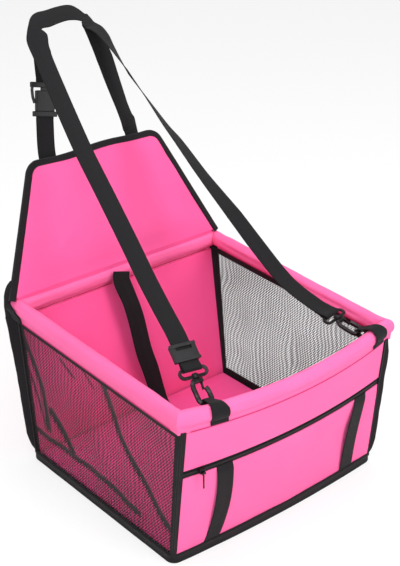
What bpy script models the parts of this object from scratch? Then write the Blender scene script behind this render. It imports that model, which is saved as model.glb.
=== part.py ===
"""Folding pet carrier: a car booster basket with a fold-forward backrest, shoulder strap and safety tether.

The origin is the middle of the base's underside. The basket's front faces -Y and +X is on the right of
someone who stands in front of it.
"""
from collections import namedtuple
from math import acos, cos, pi, radians, sin, sqrt

import bmesh
import bpy
from mathutils import Matrix, Vector

MM = 0.001
GAP = 0.3 * MM

# Plan of the basket, at the base and at the rim's stitch line: half sizes, corner radius and the angle by which
# each side's end leans out of straight (a positive slope bows the side outwards).
Plan = namedtuple("Plan", "half_x half_y corner slope")
RIM_SLOPES = {"front": 0.215, "right": -0.07, "back": 0.0, "left": -0.07}
BASE_SLOPES = {"front": 0.085, "right": 0.0, "back": 0.0, "left": 0.0}
RIM = Plan(193 * MM, 196 * MM, 19 * MM, RIM_SLOPES)
BASE = Plan(196 * MM, 175 * MM, 14 * MM, BASE_SLOPES)
SIDES = {"front": (0, -1), "right": (1, 0), "back": (0, 1), "left": (-1, 0)}
RUN_SHARE = 0.9
WALL_REACH = 0.99
NET_REACH = 0.97
ARC_CELLS = 2
SIDE_CELLS = 12

# Base
FABRIC = 1.5 * MM
BASE_FABRIC = 2.0 * MM
BOARD = 3.0 * MM
MAT = 6.0 * MM
MAT_CROWN = 3.0 * MM
RING_WALL = 3.6 * MM
RING_HEIGHT = 15.0 * MM
MAT_MARGIN = 3.0 * MM

# Rim: a plastic tube in a sewn sleeve, whose tail hangs down to the stitch line, lower at the front
TUBE_Z = 254.0 * MM
RIM_DIP = 14.0 * MM
TUBE_R = 7.0 * MM
TUBE_WALL = 1.5 * MM
TUBE_FIT = 0.5 * MM
ELBOW_WALL = 1.3 * MM
ELBOW_REACH = 12.0 * MM
MITRE_RUN = 34.0 * MM
SLEEVE_R = 13.0 * MM
SLEEVE_WALL = 1.6 * MM
SLEEVE_STEPS = 10
TAIL_DROP = 19.2 * MM
TAIL_SET = 5.0 * MM
TAIL_HALF = 1.3 * MM
SEAM_Z = TUBE_Z - TAIL_DROP
SEAM_GAP = 0.5 * MM

# Walls
LINING = 1.2 * MM
BACK_PAD = 3.0 * MM
NET_CORD = 1.3 * MM
NET_ROWS = 7
NET_TAPE = 8.0 * MM
NET_TAPE_T = 1.6 * MM
CORNER_FLANGE = 8.5 * MM
CORNER_TAPE = 1.3 * MM

# Zip pocket
ZIP_Z = 161.0 * MM
ZIP_OPEN = 7.0 * MM
ZIP_TAPE = 15.0 * MM
ZIP_TAPE_T = 0.6 * MM
ZIP_CHAIN_R = 1.4 * MM
ZIP_REACH = 0.91
LINING_DEPTH = FABRIC + ZIP_TAPE_T + 2 * GAP
SLIDER_X = -158.0 * MM
SLIDER = Vector((9.0, 5.4, 8.0)) * MM
PULL = Vector((2.2, 1.2, 24.0)) * MM
PULL_PIN_R = 0.7 * MM
PULL_KNUCKLE_R = 1.5 * MM
EAR = 1.2 * MM
EAR_SPREAD = 4.4 * MM
EAR_SINK = 0.5 * MM

# Webbing
WEB = 30.0 * MM
WEB_T = 1.4 * MM
BELT_X = (-130.0 * MM, 135.0 * MM)
BELT_BOW = 2.0 * MM

# Backrest flap
FLAP_LEAN = radians(16.8)
FLAP_BEAD = 4.0 * MM
HINGE_Y = RIM.half_y - TAIL_SET
HINGE_Z = TUBE_Z + SLEEVE_R + FLAP_BEAD + GAP
FLAP_LENGTH = 184.0 * MM
FLAP_HALF_FOOT = 193.0 * MM
FLAP_HALF_TOP = 118.0 * MM
FLAP_CORNER = 18.0 * MM
FLAP_BOARD = 2.0 * MM
FLAP_FRONT = 1.8 * MM
FLAP_BACK = 1.0 * MM
FLAP_TAPE = 9.0 * MM
FLAP_TAPE_T = 0.9 * MM
FLAP_PUFF = 1.5 * MM

# Snap hook, measured along its shank from the middle of its bottom wire
HOOK_WIRE = 3.3 * MM
HOOK_HALF = 10.0 * MM
HOOK_BEND = 5.0 * MM
HOOK_BLOCK = (28.5 * MM, 34.5 * MM)
HOOK_BLOCK_HALF = 8.5 * MM
HOOK_BLOCK_T = 6.4 * MM
NOSE_K = 20.5 * MM
GATE_PIN = (5.2 * MM, 28.5 * MM)
GATE_KNUCKLE = 1.6 * MM
GATE_LEAF = 1.3 * MM
GATE_WIDTH = 4.6 * MM
STEM_R = 2.2 * MM
STEM_TOP = 41.5 * MM
HEAD_R = 3.6 * MM
HEAD = 1.6 * MM
COLLAR_R = 5.0 * MM
EYE_WIRE = 2.5 * MM
EYE_LOW = 38.0 * MM
EYE_RISE = 12.0 * MM
LEFT_END = 84.0 * MM
RIGHT_END = 68.0 * MM
TETHER_END = 58.0 * MM
ADJUSTER = Vector((39.0, 25.0, 7.4)) * MM
ADJUSTER_K = 74.0 * MM
TETHER_SCALE = 0.72

# Where the hooks' bottom wires lie, and the direction from there to the strap
LEFT_HOOK = Vector((-135.0, -178.0, 240.0)) * MM
LEFT_PULL = Vector((85.0, 493.0, 392.0))
RIGHT_HOOK = Vector((153.0, -174.0, 240.0)) * MM
RIGHT_PULL = Vector((-18.0, 95.0, 25.0))
TETHER_HOOK = Vector((55.0, -32.0, 24.7)) * MM
TETHER_PULL = Vector((0.0, 1.0, 0.0))
TAB_X = (-126.0 * MM, 166.0 * MM)
TAB_WEB = 27.0 * MM
TAB_NECK = 9.6 * MM
TAB_FOOT = 12.0 * MM
TAB_EASE = 0.15 * MM
TAB_GAP = 0.8 * MM
CAP_REACH = 9.0 * MM

# Strap routes in millimetres, chosen by hand, with the width directions along them
STRAP_RUN = 636.0 * MM
BAND_RUN = 75.0 * MM
FOLD_R = 1.0 * MM
TURN_EASE = 1.5 * MM
STRAP_LEAD = 8.0 * MM
RIGHT_RUN = ((43, 283, 608), (46, 263, 592), (53, 232, 552), (61, 195, 523), (69, 158, 488), (76, 131, 450),
             (84, 95, 404), (96, 40, 359), (110, -14, 321), (124, -62, 287))
RIGHT_SIDES = ((1, 0, 0), (0.9, 0.2, -0.3), (0.57, 0.59, -0.57), (0.65, 0.55, -0.5), (0.75, 0.5, -0.4),
               (0.85, 0.4, -0.3), (0.95, 0.25, -0.2), (1, 0.05, 0), (1, 0, 0), (1, 0.08, 0))
TETHER_RUN = ((-8, 176.8, 258), (-12, 175.6, 240), (-20, 166, 205), (-12, 158, 165), (4, 152, 120),
              (20, 148, 75), (33, 144, 40), (42, 134, 19.5), (48, 112, 16.2), (53, 75, 16), (55, 48, 20))
TETHER_SIDES = ((1, 0, 0.05), (1, 0, 0.1), (0.97, 0.1, 0.05), (0.96, 0, 0.3), (0.95, 0, 0.3), (0.95, 0, 0.3),
                (0.97, 0.1, 0.2), (1, 0.15, 0.05), (1, 0.1, 0), (1, 0.05, 0), (1, 0, 0))

# Headrest loop
HEADREST_X = 84.0 * MM
HEADREST_FOOT = (153.0 * MM, 191.0 * MM)
HEADREST_GAP = 0.7 * MM
HEADREST_DROP = 6.0 * MM
HEADREST_RUN = ((43, 294, 588), (55, 280, 535), (70, 264, 482))
BUCKLE_ENDS = ((-74, 265, 503), (-62, 278, 551))
SOCKET = Vector((30.0, 9.0, 31.0)) * MM
LADDER = 8.0 * MM
LADDER_WIDE = 40.0 * MM
LADDER_T = 6.5 * MM
CROSSBAR = Vector((48.0, 6.0, 8.0)) * MM
STRAP_SEAT = 5.0 * MM
PRONG = Vector((13.0, 3.6, 0.0)) * MM
ARM_R = 2.2 * MM

PINK = (0.93, 0.10, 0.34, 1.0)
PINK_RIM = (0.96, 0.16, 0.42, 1.0)
PINK_MAT = (0.80, 0.08, 0.26, 1.0)
BLACK_TAPE = (0.018, 0.016, 0.019, 1.0)
BLACK_WEB = (0.022, 0.020, 0.023, 1.0)
BLACK_PLASTIC = (0.012, 0.012, 0.013, 1.0)
BLACK_METAL = (0.03, 0.03, 0.032, 1.0)
WHITE_PLASTIC = (0.80, 0.80, 0.78, 1.0)
BOARD_GREY = (0.25, 0.25, 0.26, 1.0)

for old in list(bpy.data.objects):
    bpy.data.objects.remove(old)
parts = bpy.data.collections.new("folding_pet_carrier")
helpers = bpy.data.collections.new("helpers")
bpy.context.scene.collection.children.link(parts)
bpy.context.scene.collection.children.link(helpers)


def material(name, colour, roughness, metallic=0.0):
    made = bpy.data.materials.new(name)
    made.use_nodes = True
    shader = made.node_tree.nodes["Principled BSDF"]
    shader.inputs["Base Color"].default_value = colour
    shader.inputs["Roughness"].default_value = roughness
    shader.inputs["Metallic"].default_value = metallic
    return made


def add_object(name, data, finish, collection=None):
    """Links a new object; finish is (colour, roughness, metallic) and gives it a material of its own."""
    made = bpy.data.objects.new(name, data)
    (collection or parts).objects.link(made)
    if finish:
        data.materials.append(material(name, *finish))
    return made


def smooth(mesh, angle=35):
    mesh.shade_smooth()
    mesh.set_sharp_from_angle(angle=radians(angle))


def baked(source, name, finish):
    """A curve as a closed mesh: its caps are welded and its faces look out."""
    bpy.context.view_layer.update()
    evaluated = source.evaluated_get(bpy.context.evaluated_depsgraph_get())
    mesh = bpy.data.meshes.new_from_object(evaluated)
    work = bmesh.new()
    work.from_mesh(mesh)
    bmesh.ops.remove_doubles(work, verts=work.verts, dist=0.00001)
    bmesh.ops.recalc_face_normals(work, faces=work.faces)
    work.to_mesh(mesh)
    work.free()
    mesh.materials.clear()
    smooth(mesh)
    made = add_object(name, mesh, finish)
    made.matrix_world = source.matrix_world
    bpy.data.objects.remove(source)
    return made


def poly_curve(name, points, cyclic=False, flat=False):
    curve = bpy.data.curves.new(name, "CURVE")
    curve.dimensions = "2D" if flat else "3D"
    line = curve.splines.new("POLY")
    line.points.add(len(points) - 1)
    for slot, point in zip(line.points, points):
        slot.co = (*point, 1.0) if len(point) == 3 else (*point, 0.0, 1.0)
    line.use_cyclic_u = cyclic
    return curve


def tube(name, points, radius, finish, cyclic=False, resolution=2, wall=None):
    """A round wire along the points, or a level pipe when a wall thickness is given."""
    curve = poly_curve(name, points, cyclic)
    curve.twist_mode = "Z_UP" if wall else "MINIMUM"
    curve.bevel_depth = radius
    curve.bevel_resolution = resolution
    curve.use_fill_caps = wall is None and not cyclic
    made = add_object(name + "_line", curve, None, helpers)
    if wall:
        shell = made.modifiers.new("wall", "SOLIDIFY")
        shell.thickness = wall
        shell.offset = -1.0
    return baked(made, name, finish)


def sweep(name, route, outline, finish, cyclic=False):
    """An outline (x outwards from the basket, y up) carried along a level route."""
    section = poly_curve(name + "_outline", outline, True, True)
    outline_object = add_object(name + "_outline", section, None, helpers)
    curve = poly_curve(name, route, cyclic)
    curve.twist_mode = "Z_UP"
    curve.bevel_mode = "OBJECT"
    curve.bevel_object = outline_object
    curve.use_fill_caps = not cyclic
    made = baked(add_object(name + "_line", curve, None, helpers), name, finish)
    bpy.data.objects.remove(outline_object)
    return made


def surface(name, columns, rows, place, thickness, finish, offset=-1.0, net=None):
    """An open grid laid out by place(u, v), thickened to a closed sheet, or made a net of round cords."""
    work = bmesh.new()
    bmesh.ops.create_grid(work, x_segments=columns, y_segments=rows, size=1.0)
    for corner in work.verts:
        corner.co = place((corner.co.x + 1) / 2, (corner.co.y + 1) / 2)
    mesh = bpy.data.meshes.new(name)
    work.to_mesh(mesh)
    work.free()
    smooth(mesh)
    made = add_object(name, mesh, finish)
    if net:
        wire = made.modifiers.new("net", "WIREFRAME")
        wire.thickness = net
        wire.use_even_offset = True
        wire.use_boundary = True
        wire.use_replace = True
    else:
        shell = made.modifiers.new("sheet", "SOLIDIFY")
        shell.thickness = thickness
        shell.offset = offset
    return made


def ribbon(name, rows, finish, thickness=WEB_T):
    """Webbing: rows are the pairs of points at its two edges, one pair after the other."""
    last = len(rows) - 1

    def place(u, v):
        near, far = rows[round(v * last)]
        return near.lerp(far, u)

    return surface(name, 1, last, place, thickness, finish, offset=0.0)


def edge_rows(points, sides, widths):
    """Edge pairs for a ribbon from its middle line, its width directions and its widths."""
    halves = [side.normalized() * width / 2 for side, width in zip(sides, widths)]
    return [(point - half, point + half) for point, half in zip(points, halves)]


def block(name, size, matrix, finish, bevel=0.0, segments=2):
    work = bmesh.new()
    bmesh.ops.create_cube(work, size=1.0)
    bmesh.ops.scale(work, vec=size, verts=work.verts)
    mesh = bpy.data.meshes.new(name)
    work.to_mesh(mesh)
    work.free()
    made = add_object(name, mesh, finish, parts if finish else helpers)
    made.matrix_world = matrix
    if bevel:
        rounding = made.modifiers.new("rounding", "BEVEL")
        rounding.width = bevel
        rounding.segments = segments
    smooth(mesh)
    return made


def cylinder(name, radius, length, matrix, finish, sides=16, top_radius=None):
    """A cylinder along the matrix's Z, centred on its origin."""
    work = bmesh.new()
    bmesh.ops.create_cone(work, cap_ends=True, segments=sides, radius1=radius,
                          radius2=top_radius or radius, depth=length)
    mesh = bpy.data.meshes.new(name)
    work.to_mesh(mesh)
    work.free()
    made = add_object(name, mesh, finish, parts if finish else helpers)
    made.matrix_world = matrix
    smooth(mesh)
    return made


def hide_helper(helper):
    helper.hide_render = True
    helper.display_type = "WIRE"
    for old in list(helper.users_collection):
        old.objects.unlink(helper)
    helpers.objects.link(helper)


def combine(target, tool, operation):
    """A Boolean with a tool that is kept as a helper."""
    hide_helper(tool)
    step = target.modifiers.new(operation.lower(), "BOOLEAN")
    step.operation = operation
    step.solver = "EXACT"
    step.object = tool
    return target


def frame_at(origin, x_axis, z_axis):
    """A matrix with its Z along z_axis and its X as near x_axis as can be."""
    z = Vector(z_axis).normalized()
    y = z.cross(Vector(x_axis)).normalized()
    x = y.cross(z)
    made = Matrix((x, y, z)).transposed().to_4x4()
    made.translation = origin
    return made


def smooth_path(points, steps):
    """A Catmull-Rom curve through the points, with so many steps between neighbours."""
    ends = [2 * points[0] - points[1]] + list(points) + [2 * points[-1] - points[-2]]
    made = []
    for i in range(1, len(ends) - 2):
        a, b, c, d = ends[i - 1:i + 3]
        for j in range(steps):
            t = j / steps
            made.append(0.5 * ((2 * b) + (c - a) * t + (2 * a - 5 * b + 4 * c - d) * t ** 2
                               + (3 * b - a - 3 * c + d) * t ** 3))
    made.append(points[-1].copy())
    return made


def side_point(plan, side, t, grow=0.0):
    """Point and outward direction on one side of a plan: t runs -1 to 1 from corner seam to corner seam."""
    out = Vector((*SIDES[side], 0.0))
    along = Vector((-out.y, out.x, 0.0))
    half_run = (plan.half_y if out.x else plan.half_x) - plan.corner
    reach = (plan.half_x if out.x else plan.half_y) - plan.corner
    slope = plan.slope[side]
    if abs(t) > RUN_SHARE:
        share = (abs(t) - RUN_SHARE) / (1 - RUN_SHARE)
        angle = slope + (pi / 4 - slope) * share
        angle = angle if t > 0 else -angle
        centre = along * (half_run if t > 0 else -half_run) + out * reach
        normal = out * cos(angle) + along * sin(angle)
        return centre + normal * (plan.corner + grow), normal
    share = t / RUN_SHARE
    if not slope:
        return along * half_run * share + out * (reach + plan.corner + grow), out
    bow = half_run / sin(slope)
    angle = slope * share
    normal = out * cos(angle) + along * sin(angle)
    return out * (reach - bow * cos(slope)) + normal * (bow + plan.corner + grow), normal


def side_steps(cells):
    """Values of t with the corner arcs' own share of the cells."""
    run = cells - 2 * ARC_CELLS
    arc = [RUN_SHARE + (1 - RUN_SHARE) * i / ARC_CELLS for i in range(1, ARC_CELLS + 1)]
    middle = [RUN_SHARE * (2 * i / run - 1) for i in range(run + 1)]
    return [-t for t in reversed(arc)] + middle + arc


def dip(y):
    """How far the rim hangs lower there than over the back wall."""
    return RIM_DIP * (RIM.half_y - y) / (2 * RIM.half_y)


def rim_height(point):
    """The point lifted to the height of the rim tube's middle line."""
    return Vector((point.x, point.y, TUBE_Z - dip(point.y)))


def wall_point(side, t, z, offset):
    """A point off the wall's outer face: upright in the binding, then drawn over into the rim's plan."""
    rise = max(0.0, (z - RING_HEIGHT) / (SEAM_Z - RING_HEIGHT))
    low, low_out = side_point(BASE, side, t, -RING_WALL - GAP)
    high, high_out = side_point(RIM, side, t)
    normal = low_out.lerp(high_out, rise).normalized()
    point = low.lerp(high, rise) + normal * offset
    return point + Vector((0, 0, z - dip(point.y) * rise))


def wall(name, side, low, high, offset, thickness, finish, rows=4, net=None):
    """A wall's sheet between two heights, with its outer face at the offset."""
    reach = NET_REACH if net else WALL_REACH
    cells = SIDE_CELLS
    steps = side_steps(cells)
    heights = [low + (high - low) * i / rows for i in range(rows + 1)]
    if low < RING_HEIGHT:
        heights = [low] + [RING_HEIGHT + (high - RING_HEIGHT) * i / (rows - 1) for i in range(rows)]

    def place(u, v):
        return wall_point(side, steps[round(u * cells)] * reach, heights[round(v * rows)], offset)

    return surface(name, cells, rows, place, thickness, finish, net=net)


def tube_line(side):
    """The rim tube's middle line along one side, with its outward directions, corner arcs left out."""
    cells = 10 if RIM.slope[side] > 0.1 else 6
    made = []
    for i in range(cells + 1):
        point, outward = side_point(RIM, side, RUN_SHARE * (2 * i / cells - 1), -TAIL_SET)
        made.append((rim_height(point), outward))
    return made


def corner_mitre(side, after):
    """Centre of a corner's arc, the two sides' outward directions there and the direction halfway."""
    first = side_point(RIM, side, RUN_SHARE, -TAIL_SET)
    last = side_point(RIM, after, -RUN_SHARE, -TAIL_SET)
    centre = first[0] - first[1] * (RIM.corner - TAIL_SET)
    return rim_height(centre), first[1], last[1], (first[1] + last[1]).normalized()


def front_y(x, z):
    """The front wall's outer face at a place across the front."""
    reach = wall_point("front", RUN_SHARE, z, 0).x
    return wall_point("front", RUN_SHARE * x / reach, z, 0)


FABRIC_PINK = (PINK, 0.85)
TAPE = (BLACK_TAPE, 0.9)
NET = (BLACK_TAPE, 0.8)
WEBBING = (BLACK_WEB, 0.85)
PLASTIC = (BLACK_PLASTIC, 0.4)
METAL = (BLACK_METAL, 0.35, 0.9)


def make_base():
    """Bottom fabric, stiff board, soft mat and the binding round them."""
    inner = RING_WALL + GAP

    def outline(shrink):
        return [side_point(BASE, side, t, -shrink)[0].xy
                for side in SIDES for t in side_steps(SIDE_CELLS)[:-1]]

    def plate(name, shrink, low, thickness, finish):
        curve = poly_curve(name, outline(shrink), True, True)
        curve.fill_mode = "BOTH"
        curve.extrude = thickness / 2
        made = baked(add_object(name + "_line", curve, None, helpers), name, finish)
        made.location.z = low + thickness / 2
        return made

    ring_middle = RING_WALL / 2
    half = RING_HEIGHT / 2 - GAP / 2
    soft = 1.5 * MM
    section = [(0.2 * ring_middle, -half), (ring_middle, soft - half), (ring_middle, half - soft),
               (0.2 * ring_middle, half), (-ring_middle, half), (-ring_middle, -half)]
    route = [(*point, GAP + half) for point in outline(ring_middle)]
    sweep("base_binding", route, section, TAPE, cyclic=True)
    plate("base_fabric", inner, 0.0, BASE_FABRIC, (BLACK_TAPE, 0.9))
    wall_room = inner + LINING_DEPTH + LINING + GAP
    board_low = BASE_FABRIC + GAP
    plate("base_board", wall_room, board_low, BOARD, (BOARD_GREY, 0.6))
    low = board_low + BOARD + GAP
    half_x = BASE.half_x - wall_room - MAT_MARGIN
    half_y = BASE.half_y - wall_room - MAT_MARGIN

    def place(u, v):
        x, y = 2 * u - 1, 2 * v - 1
        crown = (1 - x ** 6) * (1 - y ** 6)
        return Vector((x * half_x, y * half_y, low + MAT + MAT_CROWN * crown))

    mat = surface("floor_mat", 12, 12, place, MAT, (PINK_MAT, 0.85))
    trim = block("mat_floor", (1, 1, 0.1), Matrix.Translation((0, 0, low - 0.05)), None)
    combine(mat, trim, "DIFFERENCE")


def make_walls():
    """Front lining and panels, nets, padded back, corner bindings and belt strips."""
    floor = BASE_FABRIC + GAP
    top = SEAM_Z - SEAM_GAP
    wall("front_lining", "front", floor, top, -LINING_DEPTH, LINING, FABRIC_PINK)
    wall("front_upper_panel", "front", ZIP_Z + ZIP_OPEN / 2, top, 0.0, FABRIC, FABRIC_PINK, rows=2)
    wall("front_pocket_panel", "front", floor, ZIP_Z - ZIP_OPEN / 2, 0.0, FABRIC, FABRIC_PINK, rows=3)
    wall("back_panel", "back", floor, top, 0.0, BACK_PAD, FABRIC_PINK)
    for side in ("left", "right"):
        tape_low = top - NET_TAPE
        half_cord = NET_CORD / 2
        net_low, net_high = floor + half_cord, tape_low - GAP - half_cord
        wall(side + "_net", side, net_low, net_high, -half_cord, 0.0, NET, NET_ROWS, NET_CORD)
        wall(side + "_net_tape", side, tape_low, top, 0.0, NET_TAPE_T, TAPE, rows=1)
    for side, after in (("front", "right"), ("right", "back"), ("back", "left"), ("left", "front")):
        make_corner_binding(side, after)
    for x, side in zip(BELT_X, ("left", "right")):
        make_belt_strip(side, x)


def make_corner_binding(side, after):
    """Tape over the walls' vertical edges, folded round the basket's corner."""
    name = {"front": "front_right", "right": "back_right", "back": "back_left", "left": "front_left"}[side]
    low = RING_HEIGHT + GAP
    high = SEAM_Z - SEAM_GAP
    cells = 6

    def place(u, v):
        z = low + (high - low) * v
        arc = BASE.corner + (RIM.corner - BASE.corner) * z / SEAM_Z
        reach = (1 - RUN_SHARE) * CORNER_FLANGE / (arc * pi / 4)
        across = 2 * u - 1
        t = 1 - reach * abs(across)
        if across < 0:
            return wall_point(side, t, z, GAP)
        return wall_point(after, -t, z, GAP)

    surface("corner_binding_" + name, cells, 5, place, CORNER_TAPE, TAPE, offset=1.0)


def make_belt_strip(side, x):
    """Webbing over the pocket panel, sewn in at the zip and at the base, bowed a little."""
    low = RING_HEIGHT + GAP
    high = ZIP_Z - ZIP_TAPE / 2

    def place(u, v):
        point = front_y(x + (u - 0.5) * WEB, low + (high - low) * v)
        bow = BELT_BOW * sin(pi * v)
        return point - Vector((0, GAP + WEB_T / 2 + bow, 0))

    surface("belt_strip_" + side, 2, 6, place, WEB_T, WEBBING, offset=0.0)


def zip_arc_centre():
    """Centre of the arc that the zip follows, as a point on a vertical line."""
    side, middle = front_y(SLIDER_X, ZIP_Z), front_y(0.0, ZIP_Z)
    rise = side.y - middle.y
    radius = (side.x ** 2 + rise ** 2) / (2 * rise)
    return Vector((0, middle.y + radius, middle.z))


def make_zip():
    """Zip tape behind the panels' edges, its chain in the opening, the slider and its pull."""
    behind = -FABRIC - GAP - ZIP_TAPE_T / 2
    cells = SIDE_CELLS + 2
    steps = [WALL_REACH * t for t in side_steps(cells)]

    def place(u, v):
        return wall_point("front", steps[round(u * cells)], ZIP_Z + ZIP_TAPE * (v - 0.5), behind)

    surface("zip_tape", cells, 1, place, ZIP_TAPE_T, TAPE, offset=0.0)
    chain_middle = -FABRIC + ZIP_CHAIN_R
    chain = [wall_point("front", t * ZIP_REACH, ZIP_Z, chain_middle) for t in side_steps(cells)]
    tube("zip_chain", chain, ZIP_CHAIN_R, (BLACK_PLASTIC, 0.5), resolution=1)
    middle = front_y(SLIDER_X, ZIP_Z)
    centre = zip_arc_centre()
    outward = (middle - centre).normalized()
    at = frame_at(middle, Vector((-outward.y, outward.x, 0)), (0, 0, 1))
    seat = chain_middle + ZIP_CHAIN_R + GAP
    body = at @ Matrix.Translation((0, -seat - SLIDER.y / 2, 0))
    slider = block("zip_slider", SLIDER, body, METAL, bevel=1.2 * MM)
    hinge = at @ Matrix.Translation((0, -seat - SLIDER.y - PULL_KNUCKLE_R - GAP, -SLIDER.z / 4))
    along_x = Matrix.Rotation(pi / 2, 4, "Y")
    pin = cylinder("slider_pin", PULL_PIN_R, EAR_SPREAD + EAR, hinge @ along_x, None, 10)
    combine(slider, pin, "UNION")
    tools = [pin]
    for side in (1, -1):
        ear_size = Vector((EAR, 2 * PULL_KNUCKLE_R + GAP + EAR_SINK, 2 * PULL_KNUCKLE_R))
        ear_at = hinge @ Matrix.Translation((side * EAR_SPREAD / 2, (GAP + EAR_SINK) / 2, 0))
        ear = block("slider_ear_%d" % (side > 0), ear_size, ear_at, None)
        combine(slider, ear, "UNION")
        tools.append(ear)
    plate = block("zip_pull", PULL, hinge @ Matrix.Translation((0, 0, -PULL.z / 2)), METAL, bevel=0.4 * MM)
    knuckle = cylinder("pull_knuckle", PULL_KNUCKLE_R, EAR_SPREAD - EAR - 2 * GAP, hinge @ along_x, None, 12)
    eye = cylinder("pull_eye", PULL_PIN_R + GAP, 4 * PULL.x, hinge @ along_x, None, 10)
    combine(plate, knuckle, "UNION")
    combine(plate, eye, "DIFFERENCE")
    hang("zip_slide_axis", Matrix.Translation(centre), slider, *tools)
    hang("zip_pull_axis", hinge, plate, knuckle, eye)


def hang(name, matrix, *pieces):
    """An empty on a joint's axis that carries the pieces."""
    pivot = bpy.data.objects.new(name, None)
    parts.objects.link(pivot)
    pivot.matrix_world = matrix
    bpy.context.view_layer.update()
    for piece in pieces:
        world = piece.matrix_world.copy()
        piece.parent = pivot
        piece.matrix_parent_inverse = pivot.matrix_world.inverted()
        piece.matrix_world = world
    return pivot


def make_rim():
    """Tubes and elbows in their sleeves, which are cut and sewn to a mitre at each corner."""
    names = {"front": "front_right", "right": "back_right", "back": "back_left", "left": "front_left"}
    order = list(SIDES)
    knife_size = 7 * SLEEVE_R
    for i, side in enumerate(order):
        before, after = order[i - 1], order[(i + 1) % 4]
        line = tube_line(side)
        tube("rim_tube_" + side, [point for point, _ in line], TUBE_R, (WHITE_PLASTIC, 0.4), resolution=1,
             wall=TUBE_WALL)
        along = [Vector((-outward.y, outward.x, 0)) for _, outward in (line[0], line[-1])]
        route = [rim_height(line[0][0] - along[0] * MITRE_RUN)] + [point for point, _ in line]
        route.append(rim_height(line[-1][0] + along[1] * MITRE_RUN))
        sleeve = sweep("rim_sleeve_" + side, route, sleeve_outline(), (PINK_RIM, 0.85))
        for corner, way in (((before, side), -1), ((side, after), 1)):
            centre, _, _, halfway = corner_mitre(*corner)
            beyond = Vector((-halfway.y, halfway.x, 0)) * way
            middle = centre + beyond * (knife_size / 2 - GAP / 2) + halfway * knife_size / 4
            size = Vector((knife_size, knife_size, knife_size))
            at = frame_at(middle, beyond, (0, 0, 1))
            knife = block("mitre_%s_%d" % (side, way > 0), size, at, None)
            combine(sleeve, knife, "DIFFERENCE")
        centre, first, last, _ = corner_mitre(side, after)
        bend = []
        for k in range(7):
            spoke = first.lerp(last, k / 6).normalized()
            bend.append(rim_height(centre + spoke * (RIM.corner - TAIL_SET)))
        lead = rim_height(bend[0] - Vector((-first.y, first.x, 0)) * ELBOW_REACH)
        tail = rim_height(bend[-1] + Vector((-last.y, last.x, 0)) * ELBOW_REACH)
        outer = TUBE_R + TUBE_FIT + ELBOW_WALL
        tube("rim_elbow_" + names[side], [lead] + bend + [tail], outer, (WHITE_PLASTIC, 0.4), resolution=1,
             wall=ELBOW_WALL)


def sleeve_outline():
    """The sewn sheet round the tube: outer arc, flat tail, and the slot where its two plies part."""
    inner = SLEEVE_R - SLEEVE_WALL
    near, far = TAIL_SET + TAIL_HALF, TAIL_SET - TAIL_HALF
    start, end = -acos(near / SLEEVE_R), 2 * pi - acos(far / SLEEVE_R)
    points = []
    for i in range(SLEEVE_STEPS + 1):
        angle = start + (end - start) * i / SLEEVE_STEPS
        points.append((SLEEVE_R * cos(angle), SLEEVE_R * sin(angle)))
    points += [(far, -TAIL_DROP), (TAIL_SET - GAP / 2, -TAIL_DROP)]
    start, end = 2 * pi - acos((TAIL_SET - GAP / 2) / inner), -acos((TAIL_SET + GAP / 2) / inner)
    for i in range(SLEEVE_STEPS + 1):
        angle = start + (end - start) * i / SLEEVE_STEPS
        points.append((inner * cos(angle), inner * sin(angle)))
    points += [(TAIL_SET + GAP / 2, -TAIL_DROP), (near, -TAIL_DROP)]
    return points


def flap_frame():
    """The flap's own frame: its origin on the hinge line, X across, Y up the flap, Z out of its front."""
    lean = Matrix.Rotation(pi / 2 - FLAP_LEAN, 4, "X")
    return Matrix.Translation((0, HINGE_Y, HINGE_Z)) @ lean


def flap_half(y):
    """Half the flap's width at a height up the flap, with its top corners rounded."""
    half = FLAP_HALF_FOOT + (FLAP_HALF_TOP - FLAP_HALF_FOOT) * y / FLAP_LENGTH
    over = max(0.0, y - (FLAP_LENGTH - FLAP_CORNER))
    return half - FLAP_CORNER + sqrt(max(0.0, FLAP_CORNER ** 2 - over ** 2))


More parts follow.
